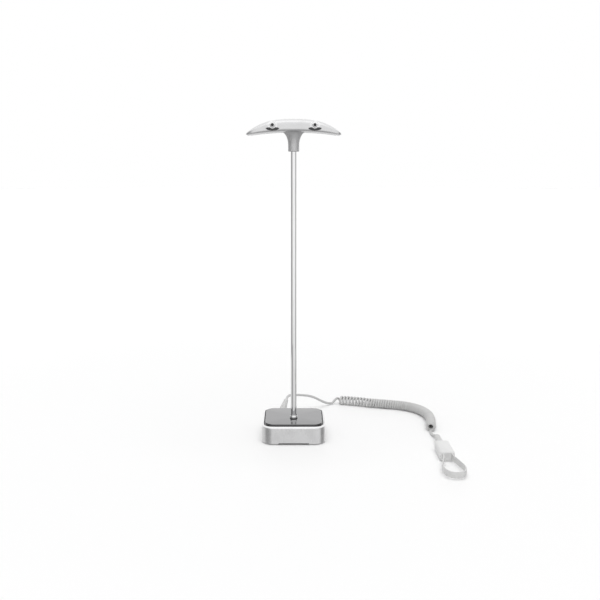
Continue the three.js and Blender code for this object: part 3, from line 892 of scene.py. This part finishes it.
def swept(line: Array, side: Array, crown: Array, section: Array) -> Array:
    """A section carried along a line: point + u side + v crown.

    Args:
        line: points of the line.
        side: unit vectors across it.
        crown: unit vectors across both.
        section: (u, v) samples, for every row or for all rows at once.

    Returns:
        Grid points.
    """
    section = np.broadcast_to(section, (len(line), *section.shape[-2:]))
    return line[:, None] + section[..., :1] * side[:, None] + section[..., 1:] * crown[:, None]


def circle(radius: Array | float, sides: int) -> Array:
    """Circles of one or several radii as (u, v) samples."""
    angle = full_turn(sides)
    ring = np.stack([np.cos(angle), np.sin(angle)], -1)
    return np.asarray(radius, float)[..., None, None] * ring


# ---------------------------------------------------------------- base and rod


@dataclass
class Base:
    """The weighted base: satin housing, black gasket whose black also stands as painted shade for the shadow line
    round the plate, polished plate.
    """

    paint: Paintbox
    corner: float = 9.5
    chamfer: float = 1.15
    rim_drop: float = 0.35
    wall: float = 2.2
    rim_gap: float = 0.1
    foot_edge: float = 0.4
    deck_edge: float = 0.6
    notch_half: float = 12.0
    notch_height: float = 1.05
    notch_blend: float = 0.2
    deck_under: float = 12.4
    deck_top: float = 14.4
    gasket_width: float = 0.75
    gasket_gap: float = 0.05
    gasket_drop: float = 0.15
    plate_edge: float = 0.12
    least_corner: float = 0.3
    middle: float = 0.5

    def housing(self) -> bpy.types.Object:
        """The housing as one skin.

        It runs under the deck, down the inner wall, round the foot, up, over the rim and the deck. Where
        its height is below the notch's, the front and middle of the wall is lifted to it.
        """
        box = Span.of("base_housing")
        half, foot, rim = box.size[0] / 2, box.low[2], box.high[2] - self.rim_drop
        inside, recess = half - self.wall, half - self.wall + self.rim_gap
        outer = eased(
            [
                (inside, foot), (half - self.foot_edge, foot), (half, foot + self.foot_edge),
                (half, rim - self.chamfer), (half - self.chamfer, rim), (recess, rim),
            ],
            0.16,
        )
        wall = np.concatenate([np.linspace(foot + 0.7, foot + 2.4, 12), np.linspace(foot + 3.0, rim - 2.0, 8)])
        top = np.flatnonzero(outer[:, 1] > foot + 3.0)[0]
        deck = [
            [self.middle, self.deck_under], [inside - self.deck_edge, self.deck_under],
            [inside, self.deck_under - self.deck_edge], [inside, foot + 0.3],
        ]
        rows = np.concatenate(
            [
                deck, outer[:top], np.stack([np.full_like(wall, half), wall], -1), outer[top:],
                [[recess, self.deck_top], [self.middle, self.deck_top]],
            ]
        )
        points = rounded_squares(rows, np.clip(rows[:, 0] - half + self.corner, self.least_corner, None), 96, 26)
        x, y, z = points[..., 0], points[..., 1], points[..., 2]
        notch = smooth(self.notch_half - np.abs(x), -self.notch_blend, self.notch_blend)
        notch = notch * smooth(-y, inside - 2.0, inside - 1.0)
        points[..., 2] = z + notch * np.clip(foot + self.notch_height - z, 0.0, None)
        return Skin("base_shell", points).piece(Body.STAND, Coat.HOUSING, self.paint, ["base_housing"])

    def gasket(self) -> bpy.types.Object:
        """The gasket frame: a soft rectangle of section carried round the plate, its black also standing as
        painted shade for the shadow line there.
        """
        box = Span.of("plate_gasket")
        outer, low = box.size[0] / 2 - self.gasket_gap, box.low[2]
        inner, high = outer - self.gasket_width, box.high[2] - self.gasket_drop - self.rim_drop
        section = eased([(inner, low), (outer, low), (outer, high), (inner, high), (inner, low)], 0.2)
        points = rounded_squares(section, section[:, 0] - outer + self.corner - self.wall + 0.6)
        return Skin("gasket_frame", points, Ends.JOINED).piece(
            Body.STAND, Coat.GASKET, self.paint, ["plate_gasket"]
        )

    def plate(self) -> bpy.types.Object:
        """The polished plate with softly eased edges."""
        box = Span.of("top_plate")
        half, low, high, edge = box.size[0] / 2, box.low[2], box.high[2], self.plate_edge
        section = eased(
            [(self.middle, low), (half, low), (half, high - edge), (half - edge, high), (self.middle, high)], 0.1
        )
        corner = np.clip(section[:, 0] - half + self.corner - self.wall, self.least_corner, None)
        return Skin("deck_plate", rounded_squares(section, corner)).piece(
            Body.STAND, Coat.PLATE, self.paint, ["top_plate"]
        )

    def build(self) -> list[bpy.types.Object]:
        """Makes the base's pieces."""
        return [self.housing(), self.gasket(), self.plate()]


@dataclass
class Rod:
    """The chrome rod with its foot collar and O-ring."""

    paint: Paintbox
    tail: float = 1.95
    shoulder_lift: float = 0.3
    tip_edge: float = 0.4
    thread_pitch: float = 0.7
    thread_depth: float = 0.1
    collar_bore: float = 2.6
    collar_drop: float = 0.56
    collar_shoulder: float = 1.15
    seal_thick: float = 0.22
    seal_tall: float = 0.23

    def shaft(self) -> bpy.types.Object:
        """The rod, turned, with a threaded tail: the thread's radius is a cosine of the height."""
        box = Span.of("support_rod")
        radius, tail, tip = box.size[0] / 2, self.tail, box.high[2]
        shoulder = Span.of("top_plate").high[2] + self.shoulder_lift
        thread_z = np.linspace(box.low[2] + 0.5, shoulder - 1.0, 90)
        ridge = self.thread_depth * np.cos(2 * np.pi * thread_z / self.thread_pitch)
        thread = np.stack([tail - 0.12 + ridge, thread_z], -1)
        shape = eased(
            [(tail, shoulder - 0.8), (tail, shoulder), (radius, shoulder), (radius, tip - self.tip_edge),
             (radius - self.tip_edge, tip), (0.0, tip)],
            0.12,
        )
        profile = np.concatenate([[[0.0, box.low[2]], [tail - 0.4, box.low[2]]], thread, shape])
        return Skin("rod_shaft", turned(profile, box.centre[1], 96), sharp=50).piece(
            Body.STAND, Coat.CHROME, self.paint, ["support_rod"]
        )

    def collar(self) -> bpy.types.Object:
        """The polished collar at the rod's foot, rounded over its shoulder."""
        box = Span.of("foot_collar")
        inner, outer, low, high = self.collar_bore, box.size[0] / 2, box.low[2] - self.collar_drop, box.high[2]
        section = eased(
            [(inner, low), (outer - 0.1, low), (outer, low + 0.2), (outer, high - self.collar_shoulder),
             (outer - 0.3, high - 0.3), (inner + 0.12, high), (inner, high - 0.1), (inner, low)],
            0.5,
        )
        return Skin("rod_collar", turned(section[:-1], box.centre[1], 80), Ends.JOINED).piece(
            Body.STAND, Coat.CHROME, self.paint, ["foot_collar"]
        )

    def seal(self) -> bpy.types.Object:
        """The O-ring: an ellipse turned about the rod, resting on the plate, its black also standing as painted
        shade for the contact shadow at the rod's foot.
        """
        box = Span.of("foot_o_ring")
        thick, tall, angle = self.seal_thick, self.seal_tall, full_turn(20)
        centre_z = Span.of("top_plate").high[2] + tall
        section = np.stack(
            [box.size[0] / 2 - thick + thick * np.cos(angle), centre_z + tall * np.sin(angle)], -1
        )
        return Skin("rod_seal", turned(section, box.centre[1], 72), Ends.JOINED).piece(
            Body.STAND, Coat.GASKET, self.paint, ["foot_o_ring"]
        )

    def build(self) -> list[bpy.types.Object]:
        """Makes the rod's pieces."""
        return [self.shaft(), self.collar(), self.seal()]


# ---------------------------------------------------------------- saddle


@dataclass
class Saddle:
    """The arched saddle: front arch, rear cover, trumpet neck and two screws."""

    paint: Paintbox
    half_width: float = 36.0
    half_depth: float = 12.5
    top: float = 251.5
    under: float = 241.9
    top_drop: float = 10.6
    top_power: float = 2.8
    under_radius: float = 235.0
    tip_round: float = 1.4
    tip_height: float = 0.12
    plan_taper: float = 12.0
    tip_half_depth: float = 7.0
    high_power: float = 3.2
    low_power: float = 7.0
    split: float = 10.3
    gap: float = 0.3
    screw_x: float = 15.9
    screw_z: float = 246.6
    seat_radius: float = 2.7
    seat_depth: float = 0.35
    seat_blend: float = 0.1
    highlight_reach: float = 1.3
    crescent_drop: float = 3.0
    crescent_bow: float = 0.014
    crescent_half_width: float = 4.7
    crescent_half_height: float = 1.15
    crescent_depth: float = 0.9
    neck_foot: float = 227.2
    neck_radius: float = 4.2
    neck_bore: float = 2.6
    neck_edge: float = 0.3
    flare_foot: float = 231.8
    flare_reach: float = 5.8
    flare_height: float = 10.3
    set_screw_z: float = 229.8
    set_screw_floor: float = 3.1
    set_screw_radius: float = 1.5
    head_dome: float = 1.1
    head_edge: float = 0.35
    head_seat: float = 1.24
    shank_radius: float = 1.5
    socket_flat: float = 1.0
    across: int = 64
    upright: int = 84
    wide_stations: int = 90
    screw_stations: int = 84
    screw_reach: float = 5.4
    least_step: float = 0.05

    @property
    def axis_y(self) -> float:
        """Where the rod stands, front to back."""
        return float(Span.of("support_rod").centre[1])

    def _closing(self, x: Array, stretch: float) -> Array:
        """Quarter ellipse that falls from 1 to 0 over the last stretch before the tip."""
        into = np.clip((np.abs(x) - (self.half_width - stretch)) / stretch, 0.0, 1.0)
        return np.sqrt(1.0 - into**2)

    def _section(self, x: Array) -> tuple[Array, Array]:
        """Superellipse sections of the arch, softer above than below.

        Args:
            x: stations along the saddle.

        Returns:
            Depth and height of each sample, of shape stations, samples.
        """
        p, q = square_walk(self.across, self.upright)
        p, q = superellipse(p, q, np.where(q < 0, self.low_power, self.high_power))
        crest = self.top - self.top_drop * (np.abs(x) / self.half_width) ** self.top_power
        belly = self.under - x**2 / (2 * self.under_radius)
        half_height = (crest - belly) / 2 * np.maximum(self.tip_height, self._closing(x, self.tip_round))
        spread = (self.half_depth - self.tip_half_depth) * self._closing(x, self.plan_taper)
        y = (self.tip_half_depth + spread)[:, None] * p
        z = (crest + belly)[:, None] / 2 + half_height[:, None] * q
        return y, z

    def _stations(self) -> Array:
        """Stations along the saddle, closer together at the tips and about the screws."""
        wide = -self.half_width * np.cos(np.linspace(0, np.pi, self.wide_stations))
        near = self.screw_x + np.linspace(-self.screw_reach, self.screw_reach, self.screw_stations)
        every = np.unique(np.round(np.concatenate([wide, near, -near]), 3))
        return every[np.concatenate([[True], np.diff(every) > self.least_step])]

    def arch(self) -> bpy.types.Object:
        """The front arch, cut flat where the rear cover joins it, with two screw seats and two crescents.

        A seat is a disc about the screw. A crescent is a lens whose middle line bows up away from the screw, where
        (away / half width)^2 + (drop / half height)^2 is below 1. The crescents carry painted shade, and a ring
        round each seat carries a painted highlight.
        """
        x = self._stations()
        y, z = self._section(x)
        away = np.abs(np.abs(x)[:, None] - self.screw_x)
        from_screw = np.hypot(away, z - self.screw_z)
        edge = self.seat_radius + self.seat_blend
        seat = 1.0 - smooth(from_screw, self.seat_radius - self.seat_blend, edge)
        drop = z - (self.screw_z - self.crescent_drop + self.crescent_bow * away**2)
        lens = (away / self.crescent_half_width) ** 2 + (drop / self.crescent_half_height) ** 2
        front = (y < -self.tip_half_depth).astype(float)
        # the crescent is a real recess, and its mask also carries painted shade
        crescent = front * (1.0 - smooth(lens, 0.72, 1.25)) * (1.0 - seat)
        # painted highlight: a lighter ring round each screw seat
        ring_highlight = front * (1.0 - smooth(from_screw, edge, self.seat_radius + self.highlight_reach))
        y = y + front * self.seat_depth * seat + self.crescent_depth * crescent
        y = np.minimum(y, self.split)
        points = np.stack([np.broadcast_to(x[:, None], y.shape), y + self.axis_y, z], -1)
        return Skin("saddle_arch", points, sharp=45, marks={"recess": crescent, "spot_face_highlight": ring_highlight}).piece(
            Body.SADDLE, Coat.SADDLE, self.paint, ["saddle_body"], Coat.SADDLE_FRONT
        )

    def cover(self) -> bpy.types.Object:
        """The rear cover: the arch's own sections from just behind the joint to the back."""
        reach = Span.of("saddle_rear_cover").size[0] / 2
        every = self._stations()
        x = np.concatenate([[-reach], every[np.abs(every) < reach - self.least_step], [reach]])
        y, z = self._section(x)
        y = np.maximum(y, self.split + self.gap)
        points = np.stack([np.broadcast_to(x[:, None], y.shape), y + self.axis_y, z], -1)
        return Skin("saddle_back", points, sharp=45).piece(
            Body.SADDLE, Coat.SADDLE, self.paint, ["saddle_rear_cover"]
        )

    def neck(self) -> bpy.types.Object:
        """The trumpet neck: a sleeve that opens in a concave quarter ellipse into the arch's underside.

        Behind, the points within a small circle about the set screw's axis are drawn in to a flat floor.
        """
        foot, radius, bore, edge = self.neck_foot, self.neck_radius, self.neck_bore, self.neck_edge
        inside_arch = self.under + 1.0
        t = np.sin(np.linspace(0, np.pi / 2, 28))
        flare = radius + self.flare_reach * (1 - np.sqrt(1 - t**2))
        trumpet = np.stack([flare, self.flare_foot + self.flare_height * t], -1)
        sleeve = eased(
            [(bore, inside_arch), (bore, foot), (radius - edge, foot), (radius, foot + edge),
             (radius, self.flare_foot)],
            0.12,
        )
        wall = np.linspace(foot + 0.5, self.flare_foot - 0.15, 24)
        straight = np.stack([np.full_like(wall, radius), wall], -1)
        lip = [[radius + self.flare_reach, inside_arch]]
        points = turned(np.concatenate([sleeve[:-1], straight, trumpet, lip]), 0.0, 120)
        from_screw = np.hypot(points[..., 0], points[..., 2] - self.set_screw_z)
        near = 1.0 - smooth(from_screw, self.set_screw_radius - 0.16, self.set_screw_radius)
        outside = points[..., 1] > radius - 0.7
        points[..., 1] += self.axis_y - near * outside * np.clip(points[..., 1] - self.set_screw_floor, 0.0, None)
        # painted shade: the neck takes the darker tint of the saddle finish
        return Skin("saddle_neck", points, Ends.JOINED).piece(
            Body.SADDLE, Coat.SADDLE, self.paint, [], Coat.SADDLE_NECK_SHADED
        )

    def screw(self, side: Side) -> bpy.types.Object:
        """A button-head screw whose dome falls into a six-sided recess, painted dark inside as painted shade.

        The recess rows are not circles: their radius is the flat's distance divided by the cosine of the
        angle from the nearest flat.

        Args:
            side: which of the two it is.

        Returns:
            The screw.
        """
        box = Span.of(f"saddle_screw_{side.value}")
        head, flat, shank, back = box.size[0] / 2, self.socket_flat, self.shank_radius, box.high[1]
        seat = box.low[1] + self.head_seat
        dome = np.linspace(0, 0.3 * np.pi, 12)[:, None]
        cap = np.concatenate(
            [(head - 0.05) * np.cos(dome), seat - self.head_edge - self.head_dome * np.sin(dome)], 1
        )
        front = float(cap[-1, 1])
        stem = [[0.0, back], [shank, back], [shank, seat], [head - 0.1, seat], [head, seat - 0.1]]
        recess = [[flat + 0.06, front + 0.01], [flat, front + 0.07], [flat, front + 0.7], [0.0, front + 0.95]]
        rows = np.concatenate([stem, cap, recess])
        angle = full_turn(96)
        six = 1.0 / np.cos((angle + np.pi / 6) % (np.pi / 3) - np.pi / 6)
        hexagonal = (np.arange(len(rows)) >= len(rows) - len(recess)).astype(float)[:, None]
        radius = rows[:, :1] * (1 - hexagonal + hexagonal * six)
        y = np.broadcast_to(rows[:, 1:], radius.shape)
        points = np.stack(
            [radius * np.cos(angle) + box.centre[0], y, radius * np.sin(angle) + box.centre[2]], -1
        )
        # painted shade: the socket rows are painted dark
        return Skin(f"saddle_bolt_{side.value}", points, sharp=35, marks={"recess": hexagonal}).piece(
            Body.SADDLE, Coat.CHROME, self.paint, [f"saddle_screw_{side.value}"], Coat.SCREW
        )

    def build(self) -> list[bpy.types.Object]:
        """Makes the saddle's pieces."""
        return [self.arch(), self.cover(), self.neck(), *(self.screw(side) for side in Side)]


# ---------------------------------------------------------------- tether


BOOT_ROUTE = [(-10, 20.8, 8.5), (-10, 25, 8.5), (-10, 29.5, 8.7), (-9.3, 37, 10.5), (-6.5, 50, 15.5)]
LEAD_ROUTE = [
    (-6.4, 50.3, 15.6), (-5.1, 56, 16.9), (-2.4, 61, 16.9), (2.1, 65.5, 15.8), (8, 69, 14.6), (13.6, 71.6, 13.2),
    (18.4, 74.4, 11), (22.8, 78, 7.9), (27.4, 82.8, 4.4), (31.6, 87, 2.1), (35.4, 89.6, 1.3), (39.3, 90.8, 1.3),
]
CURLY_ROUTE = [
    (43.6, 91, 3.9), (56, 86.6, 3.9), (69, 81.4, 3.9), (82.6, 77.4, 3.9), (95, 73.4, 3.9), (105.4, 66.4, 3.9),
    (112.4, 56.4, 3.9), (116, 44.8, 3.9), (116.4, 32.8, 3.9), (115, 21, 3.9), (113.4, 9.4, 3.9),
]
TAIL_ROUTE = [
    (112.6, 4.4, 1.2), (112.3, 0, 1.2), (112.8, -4.6, 1.6), (113.6, -8.6, 2.6), (114, -12.2, 3.6),
    (114, -14.6, 3.8), (114, -18, 3.8),
]


@dataclass
class Tether:
    """The tether: outlet boot, one cord that is straight, curly and straight again, and the sensor."""

    paint: Paintbox
    cord_radius: float = 1.05
    cord_sides: int = 12
    ground_gap: float = 0.12
    coil_radius: float = 2.95
    coil_in: float = 10.0
    coil_out: float = 7.5
    loose_pitch: float = 3.0
    loose_length: float = 23.0
    loose_end: float = 9.0
    tight_pitch: float = 2.19
    points_per_turn: int = 20
    point_gap: float = 1.6
    boot_thick: float = 4.4
    boot_thin: float = 1.75
    boot_end: float = 0.96
    relief_thin: float = 2.25
    relief_swell: float = 0.4
    relief_ribbed: float = 0.9
    relief_plug: float = 1.6
    rib_depth: float = 0.4
    outlet_ribs: int = 8
    relief_ribs: int = 10
    case_round: float = 1.2
    case_power: float = 5.0
    cap_length: float = 5.0
    cap_groove: float = 0.22
    parting_groove: float = 0.2
    strap_half_thick: float = 0.55
    strap_rib: float = 0.08
    strap_power: float = 4.0

    def _guide(self) -> tuple[Route, float, float]:
        """The line that the cord winds about, from the wall of the base to the sensor.

        Returns:
            The route and the distances at which the curly part starts and stops.
        """
        height = 1.2 + self.coil_radius
        curly = [(x, y, height) for x, y, _ in CURLY_ROUTE[1:-1]]
        guide = Route(np.array(BOOT_ROUTE[1:4] + LEAD_ROUTE + curly + TAIL_ROUTE, float))
        on_table = np.array([1.0, 1.0, 0.4])
        return guide, *(guide.nearest(np.array(end) * on_table) for end in (CURLY_ROUTE[0], CURLY_ROUTE[-1]))

    def centreline(self) -> tuple[Array, Array]:
        """The cord's own centreline.

        The cord turns about the guide at a radius that eases in and out, and its angle is the running sum
        of distance over pitch, slowed where the radius eases, with a wide pitch where the curly part starts
        and a close one after it. Two slow sines keep the turns from being all alike.

        Returns:
            The points, and the outward directions that its frame starts from.
        """
        guide, start, stop = self._guide()
        fine = np.linspace(0, guide.total, 12000)
        swell = smooth(fine, start - self.coil_in, start) * (1 - smooth(fine, stop - 2.0, stop + self.coil_out))
        loose_stop = start + self.loose_length
        loose = 1.0 - smooth(fine, loose_stop, loose_stop + self.loose_end)
        pitch = self.tight_pitch + (self.loose_pitch - self.tight_pitch) * loose
        turns = np.cumsum(swell**5 / pitch) * (fine[1] - fine[0])
        wobble = 1.0 + 0.012 * np.sin(fine * 0.37) + 0.008 * np.sin(fine * 0.91 + 1.0)
        coil = guide.at(fine)
        lift = self.cord_radius + self.ground_gap + self.coil_radius * 1.02 * swell
        coil[:, 2] = np.maximum(coil[:, 2], lift)
        side, crown = level_frames(coil)
        angle = 2 * np.pi * turns + np.pi / 2
        outward = np.cos(angle)[:, None] * side + np.sin(angle)[:, None] * crown
        line = coil + (self.coil_radius * swell * wobble)[:, None] * outward
        weight = np.cumsum(np.gradient(fine) / self.point_gap + np.gradient(turns) * self.points_per_turn)
        order = np.arange(len(fine))
        pick = np.interp(np.linspace(0, weight[-1], int(weight[-1])), weight, order)
        return read_between(pick, order, line), read_between(pick, order, outward)

    def cord(self, with_pieces: Sequence[bpy.types.Object]) -> bpy.types.Object:
        """The whole cord as one tube.

        Args:
            with_pieces: not used.

        Returns:
            The cord.
        """
        line, outward = self.centreline()
        direction = unit(np.gradient(line, axis=0))
        side = unit(outward - (outward * direction).sum(-1, keepdims=True) * direction)
        steps = np.linalg.norm(np.diff(line, axis=0), axis=1)
        along = np.concatenate([[0.0], np.cumsum(steps)])
        points = swept(line, side, np.cross(direction, side), circle(self.cord_radius, self.cord_sides))
        made = Skin("tether_cord", points, sharp=60, marks={"cord_along": along[:, None]}).piece(
            Body.STAND, Coat.CORD, self.paint, ["lead_cord", "curly_cord", "tail_cord"]
        )
        LOG.info("tether_cord is %.3f m long", along[-1] * MM)
        return made

    def _ribs(self, share: Array, count: int) -> Array:
        """Depth of the grooves of a ribbed boot: zero on the ribs, easing to the full depth between them."""
        wave = 0.5 + 0.5 * np.cos(2 * np.pi * count * share)
        return self.rib_depth * smooth(wave, 0.35, 0.65)

    def outlet(self) -> bpy.types.Object:
        """The outlet boot: a flange on the wall, then a ribbed taper that follows the cord."""
        route = Route(np.array(BOOT_ROUTE, float))
        share = np.linspace(0, 1, 260)
        line = route.at(share * route.total)
        side, crown = level_frames(line)
        wall = float(np.interp(25.15, line[:, 1], share))
        narrowing = smooth(share, wall - 0.1, 1.15) ** 0.85
        taper = self.boot_thick + (self.boot_thin - self.boot_thick) * narrowing
        body = np.clip((share - wall - 0.1) / (self.boot_end - wall - 0.1), 0, 1)
        ribs = self._ribs(body, self.outlet_ribs) * smooth(body, 0.0, 0.03) * (1 - smooth(body, 0.97, 1.0))
        inside = 2.6 + 0.9 * (share < 0.05)
        radius = np.where(share < wall, inside, taper - ribs) - 0.5 * smooth(share, 0.985, 1.0)
        points = swept(line, side, crown, circle(radius, 44))
        return Skin("outlet_sleeve", points, sharp=50).piece(
            Body.STAND, Coat.BOOT, self.paint, ["outlet_boot"]
        )

    def relief(self) -> bpy.types.Object:
        """The sensor's ribbed boot: a straight taper with close rings, and a plain plug inside the case."""
        box = Span.of("sensor_boot")
        y = np.linspace(box.high[1], box.low[1], 300)
        share = (y - box.high[1]) / (box.low[1] - box.high[1])
        ribbed = share < self.relief_ribbed
        ribs = 1.05 * self._ribs(np.clip(share / self.relief_ribbed, 0, 1), self.relief_ribs) * ribbed
        radius = self.relief_thin + self.relief_swell * share - ribs - 0.5 * (1 - smooth(share, 0.0, 0.03))
        radius = np.where(share > 0.925, self.relief_plug, radius)
        line = np.stack([np.full_like(y, box.centre[0]), y, np.full_like(y, box.centre[2])], -1)
        points = swept(line, *level_frames(line), circle(radius, 40))
        return Skin("sensor_sleeve", points, sharp=50).piece(
            Body.STAND, Coat.BOOT, self.paint, ["sensor_boot"]
        )

    def case(self) -> bpy.types.Object:
        """The sensor's case: superellipse sections carried along Y, rounded at both ends by a quarter circle.

        The parting line round the middle and the cap's joint are grooves of the form exp(-(distance /
        width)^2).
        """
        low, high = Span.of("sensor_lower_shell"), Span.of("sensor_upper_shell")
        front, back, bend = high.low[1], high.high[1], self.case_round
        half_x, half_z = high.size[0] / 2, (high.high[2] - low.low[2]) / 2
        u, v = superellipse(*square_walk(40, 40), self.case_power)
        end = bend * (1 - np.cos(np.linspace(0, np.pi / 2, 10)))
        straight = np.linspace(back - bend - 0.1, front + bend + 0.1, 120)
        y = np.concatenate([back - end, straight, front + end[::-1]])
        into_end = np.clip(bend - np.minimum(back - y, y - front), 0, bend)
        inset = bend - np.sqrt(np.clip(bend**2 - into_end**2, 0, None))
        inset = (inset + self.cap_groove * np.exp(-(((y - (back - self.cap_length)) / 0.16) ** 2)))[:, None]
        parting = self.parting_groove * np.exp(-((v * half_z / 0.14) ** 2))
        x = (half_x - inset - parting) * u + high.centre[0]
        z = (half_z - inset) * v + (high.high[2] + low.low[2]) / 2
        points = np.stack([x, np.broadcast_to(y[:, None], x.shape), z], -1)
        return Skin("sensor_case", points, sharp=45).piece(
            Body.STAND, Coat.SENSOR, self.paint, ["sensor_lower_shell", "sensor_upper_shell"]
        )

    def strap(self) -> bpy.types.Object:
        """The strap: a soft-edged band carried round a teardrop.

        Across, the line is 3 cos(a/2) + 9.5 sin a sin^2(a/2); along, it is half the reach times
        (1 - cos a), plus a little of sin(a/2).
        """
        box = Span.of("strap_loop")
        a = np.linspace(0, 2 * np.pi, 180)
        across = 3 * np.cos(a / 2) + 9.5 * np.sin(a) * np.sin(a / 2) ** 2
        along = 19.0 * (1 - np.cos(a)) + 1.6 * np.sin(a / 2)
        start = box.high[1] + 0.02
        line = np.stack([box.centre[0] - across, start - along, np.full_like(a, box.centre[2])], -1)
        p, q = square_walk(14, 14)
        u, v = superellipse(p, q, self.strap_power)
        rib = self.strap_rib * np.cos(q * np.pi * 1.5) * (np.abs(p) == 1)
        section = np.stack([(self.strap_half_thick + rib) * u, box.size[2] / 2 * v], -1)
        return Skin("strap_band", swept(line, *level_frames(line), section), sharp=60).piece(
            Body.STAND, Coat.STRAP, self.paint, ["strap_loop"]
        )

    def build(self) -> list[bpy.types.Object]:
        """Makes the tether's pieces."""
        on_cord = [self.outlet(), self.relief(), self.case()]
        return [self.cord(on_cord), *on_cord, self.strap()]


# ---------------------------------------------------------------- studio


@dataclass
class Studio:
    """Pale floor, white surround, soft light, grey side cards and the camera."""

    floor_radius: float = 9.0
    floor_sides: int = 96
    dome_radius: float = 12.0
    card_distance: float = 1.5
    card_samples: int = 24
    white_from: float = 150.0
    white_beyond: float = 700.0
    low_glow: float = 0.5
    ambient: float = 0.56
    lens: float = 50.0
    sensor: float = 36.0
    shift: float = 0.01055
    stand_off: float = 0.6529
    eye: float = 0.214
    pitch: float = 8.93

    @staticmethod
    def _put(
        name: str, vertices: Array, faces: list, material: bpy.types.Material, hidden_from: Sequence[Ray]
    ) -> None:
        """Adds a mesh to the studio.

        Args:
            name: the object's name.
            vertices: its points in metres.
            faces: its faces.
            material: its finish.
            hidden_from: the kinds of ray that don't see it.
        """
        mesh = bpy.data.meshes.new(name)
        mesh.from_pydata(vertices.tolist(), [], faces)
        made = placed(name, mesh, material)
        for ray in hidden_from:
            setattr(made, f"visible_{ray.value}", False)

    def floor(self) -> None:
        """A wide pale disc under the stand, with painted light: a little whiter far from it."""
        angle = full_turn(self.floor_sides)
        rim = np.stack([np.cos(angle), np.sin(angle), 0 * angle], -1) * self.floor_radius
        shader = Shader("studio_floor")
        x, y = shader.axis("X"), shader.axis("Y")
        # painted light: the floor's colour grows whiter with distance from the stand
        far = (x * x + y * y).step(self.white_from**2, self.white_beyond**2)
        colour = shader.tint((0.95, 0.95, 0.95), (1.0, 1.0, 1.0), far)
        material = shader.finish(Base_Color=colour, Roughness=0.55, Specular_IOR_Level=0.2)
        self._put("studio_floor", rim, [list(range(self.floor_sides))], material, [Ray.GLOSSY])

    def dome(self) -> None:
        """A white dome that the camera and reflections see, dimmer below the floor's level.

        Its points are a radius times (cos a cos e, sin a cos e, sin e), and its faces look inwards.
        """
        azimuth = full_turn(64)
        elevation = np.radians(np.linspace(-89.5, 89.5, 48))[:, None]
        rise = np.sin(elevation) + 0 * azimuth
        sphere = np.stack([np.cos(azimuth) * np.cos(elevation), np.sin(azimuth) * np.cos(elevation), rise], -1)
        shader = Shader("studio_dome")
        height = shader.axis("Z") * (MM / self.dome_radius)
        glow = self.low_glow + (1.0 - self.low_glow) * height.step(-0.72, -0.03)
        colour = shader.node("ShaderNodeCombineColor", None, {0: glow, 1: glow, 2: glow}).outputs[0]
        faces = quads(*sphere.shape[:2])[:, ::-1].tolist()
        self._put(
            "studio_dome", sphere.reshape(-1, 3) * self.dome_radius, faces, shader.glow(colour),
            [Ray.DIFFUSE, Ray.SHADOW],
        )

    def card(self, name: str, azimuth: tuple[float, float], heights: tuple[float, float], grey: float) -> None:
        """A curved grey card that only reflections see.

        Args:
            name: the object's name.
            azimuth: its ends in degrees from the viewer, counted towards the viewer's right.
            heights: its lower and upper edge in metres.
            grey: its brightness.
        """
        angle = np.radians(np.linspace(*azimuth, self.card_samples))
        x, y = self.card_distance * np.sin(angle), -self.card_distance * np.cos(angle)
        edges = np.concatenate([np.stack([x, y, np.full_like(x, level)], -1) for level in heights])
        faces = quads(2, self.card_samples, round_columns=False).tolist()
        self._put(name, edges, faces, Shader(name).glow((grey, grey, grey)), [Ray.CAMERA, Ray.DIFFUSE, Ray.SHADOW])

    @staticmethod
    def sun(name: str, tilt: tuple[float, float], power: float, spread: float) -> None:
        """A far, wide soft light.

        Args:
            name: the light's name.
            tilt: degrees that it leans to the front and to the left from overhead.
            power: its strength.
            spread: its apparent width in degrees.
        """
        data = bpy.data.lights.new(name, "SUN")
        data.energy = power
        data.angle = math.radians(spread)
        data.specular_factor = 0.15
        made = bpy.data.objects.new(name, data)
        bpy.context.scene.collection.objects.link(made)
        made.location = (0.0, 0.0, 2.0)
        made.rotation_euler = (math.radians(tilt[0]), math.radians(tilt[1]), 0.0)

    def surround(self) -> None:
        """An even white surround."""
        world = bpy.data.worlds.new("studio_surround")
        world.use_nodes = True
        background = world.node_tree.nodes["Background"]
        background.inputs["Color"].default_value = (1.0, 1.0, 1.0, 1.0)
        background.inputs["Strength"].default_value = self.ambient
        bpy.context.scene.world = world
        bpy.context.scene.view_settings.view_transform = "Standard"

    def camera(self) -> None:
        """The camera in front of the stand, tipped down a little."""
        data = bpy.data.cameras.new("view")
        data.lens = self.lens
        data.sensor_width = self.sensor
        data.shift_x = self.shift
        data.clip_start = 0.01
        made = bpy.data.objects.new("view", data)
        bpy.context.scene.collection.objects.link(made)
        made.location = (0.0, -self.stand_off, self.eye)
        made.rotation_euler = (math.radians(90 - self.pitch), 0.0, 0.0)
        bpy.context.scene.camera = made

    def build(self) -> None:
        """Sets up the studio."""
        self.floor()
        self.dome()
        self.surround()
        self.card("card_left_high", (-122, -46), (-0.36, 0.8), 0.36)
        self.card("card_left_low", (-90, -28), (-1.6, -0.36), 0.37)
        self.card("card_right_high", (68, 112), (-0.36, 0.8), 0.34)
        self.card("card_right_low", (76, 124), (-1.6, -0.36), 0.36)
        self.sun("light_high", (14.0, 0.0), 1.5, 60.0)
        self.camera()


def main() -> None:
    """Builds the stand and its studio."""
    logging.basicConfig(level=logging.INFO, format="%(name)s %(message)s")
    paint = Paintbox()
    Studio().build()
    paint.dress_nodes()
    for assembly in (Tether(paint), Base(paint), Rod(paint), Saddle(paint)):
        made = assembly.build()
        LOG.info("%s has %d pieces", type(assembly).__name__, len(made))


if __name__ == "__main__":
    main()
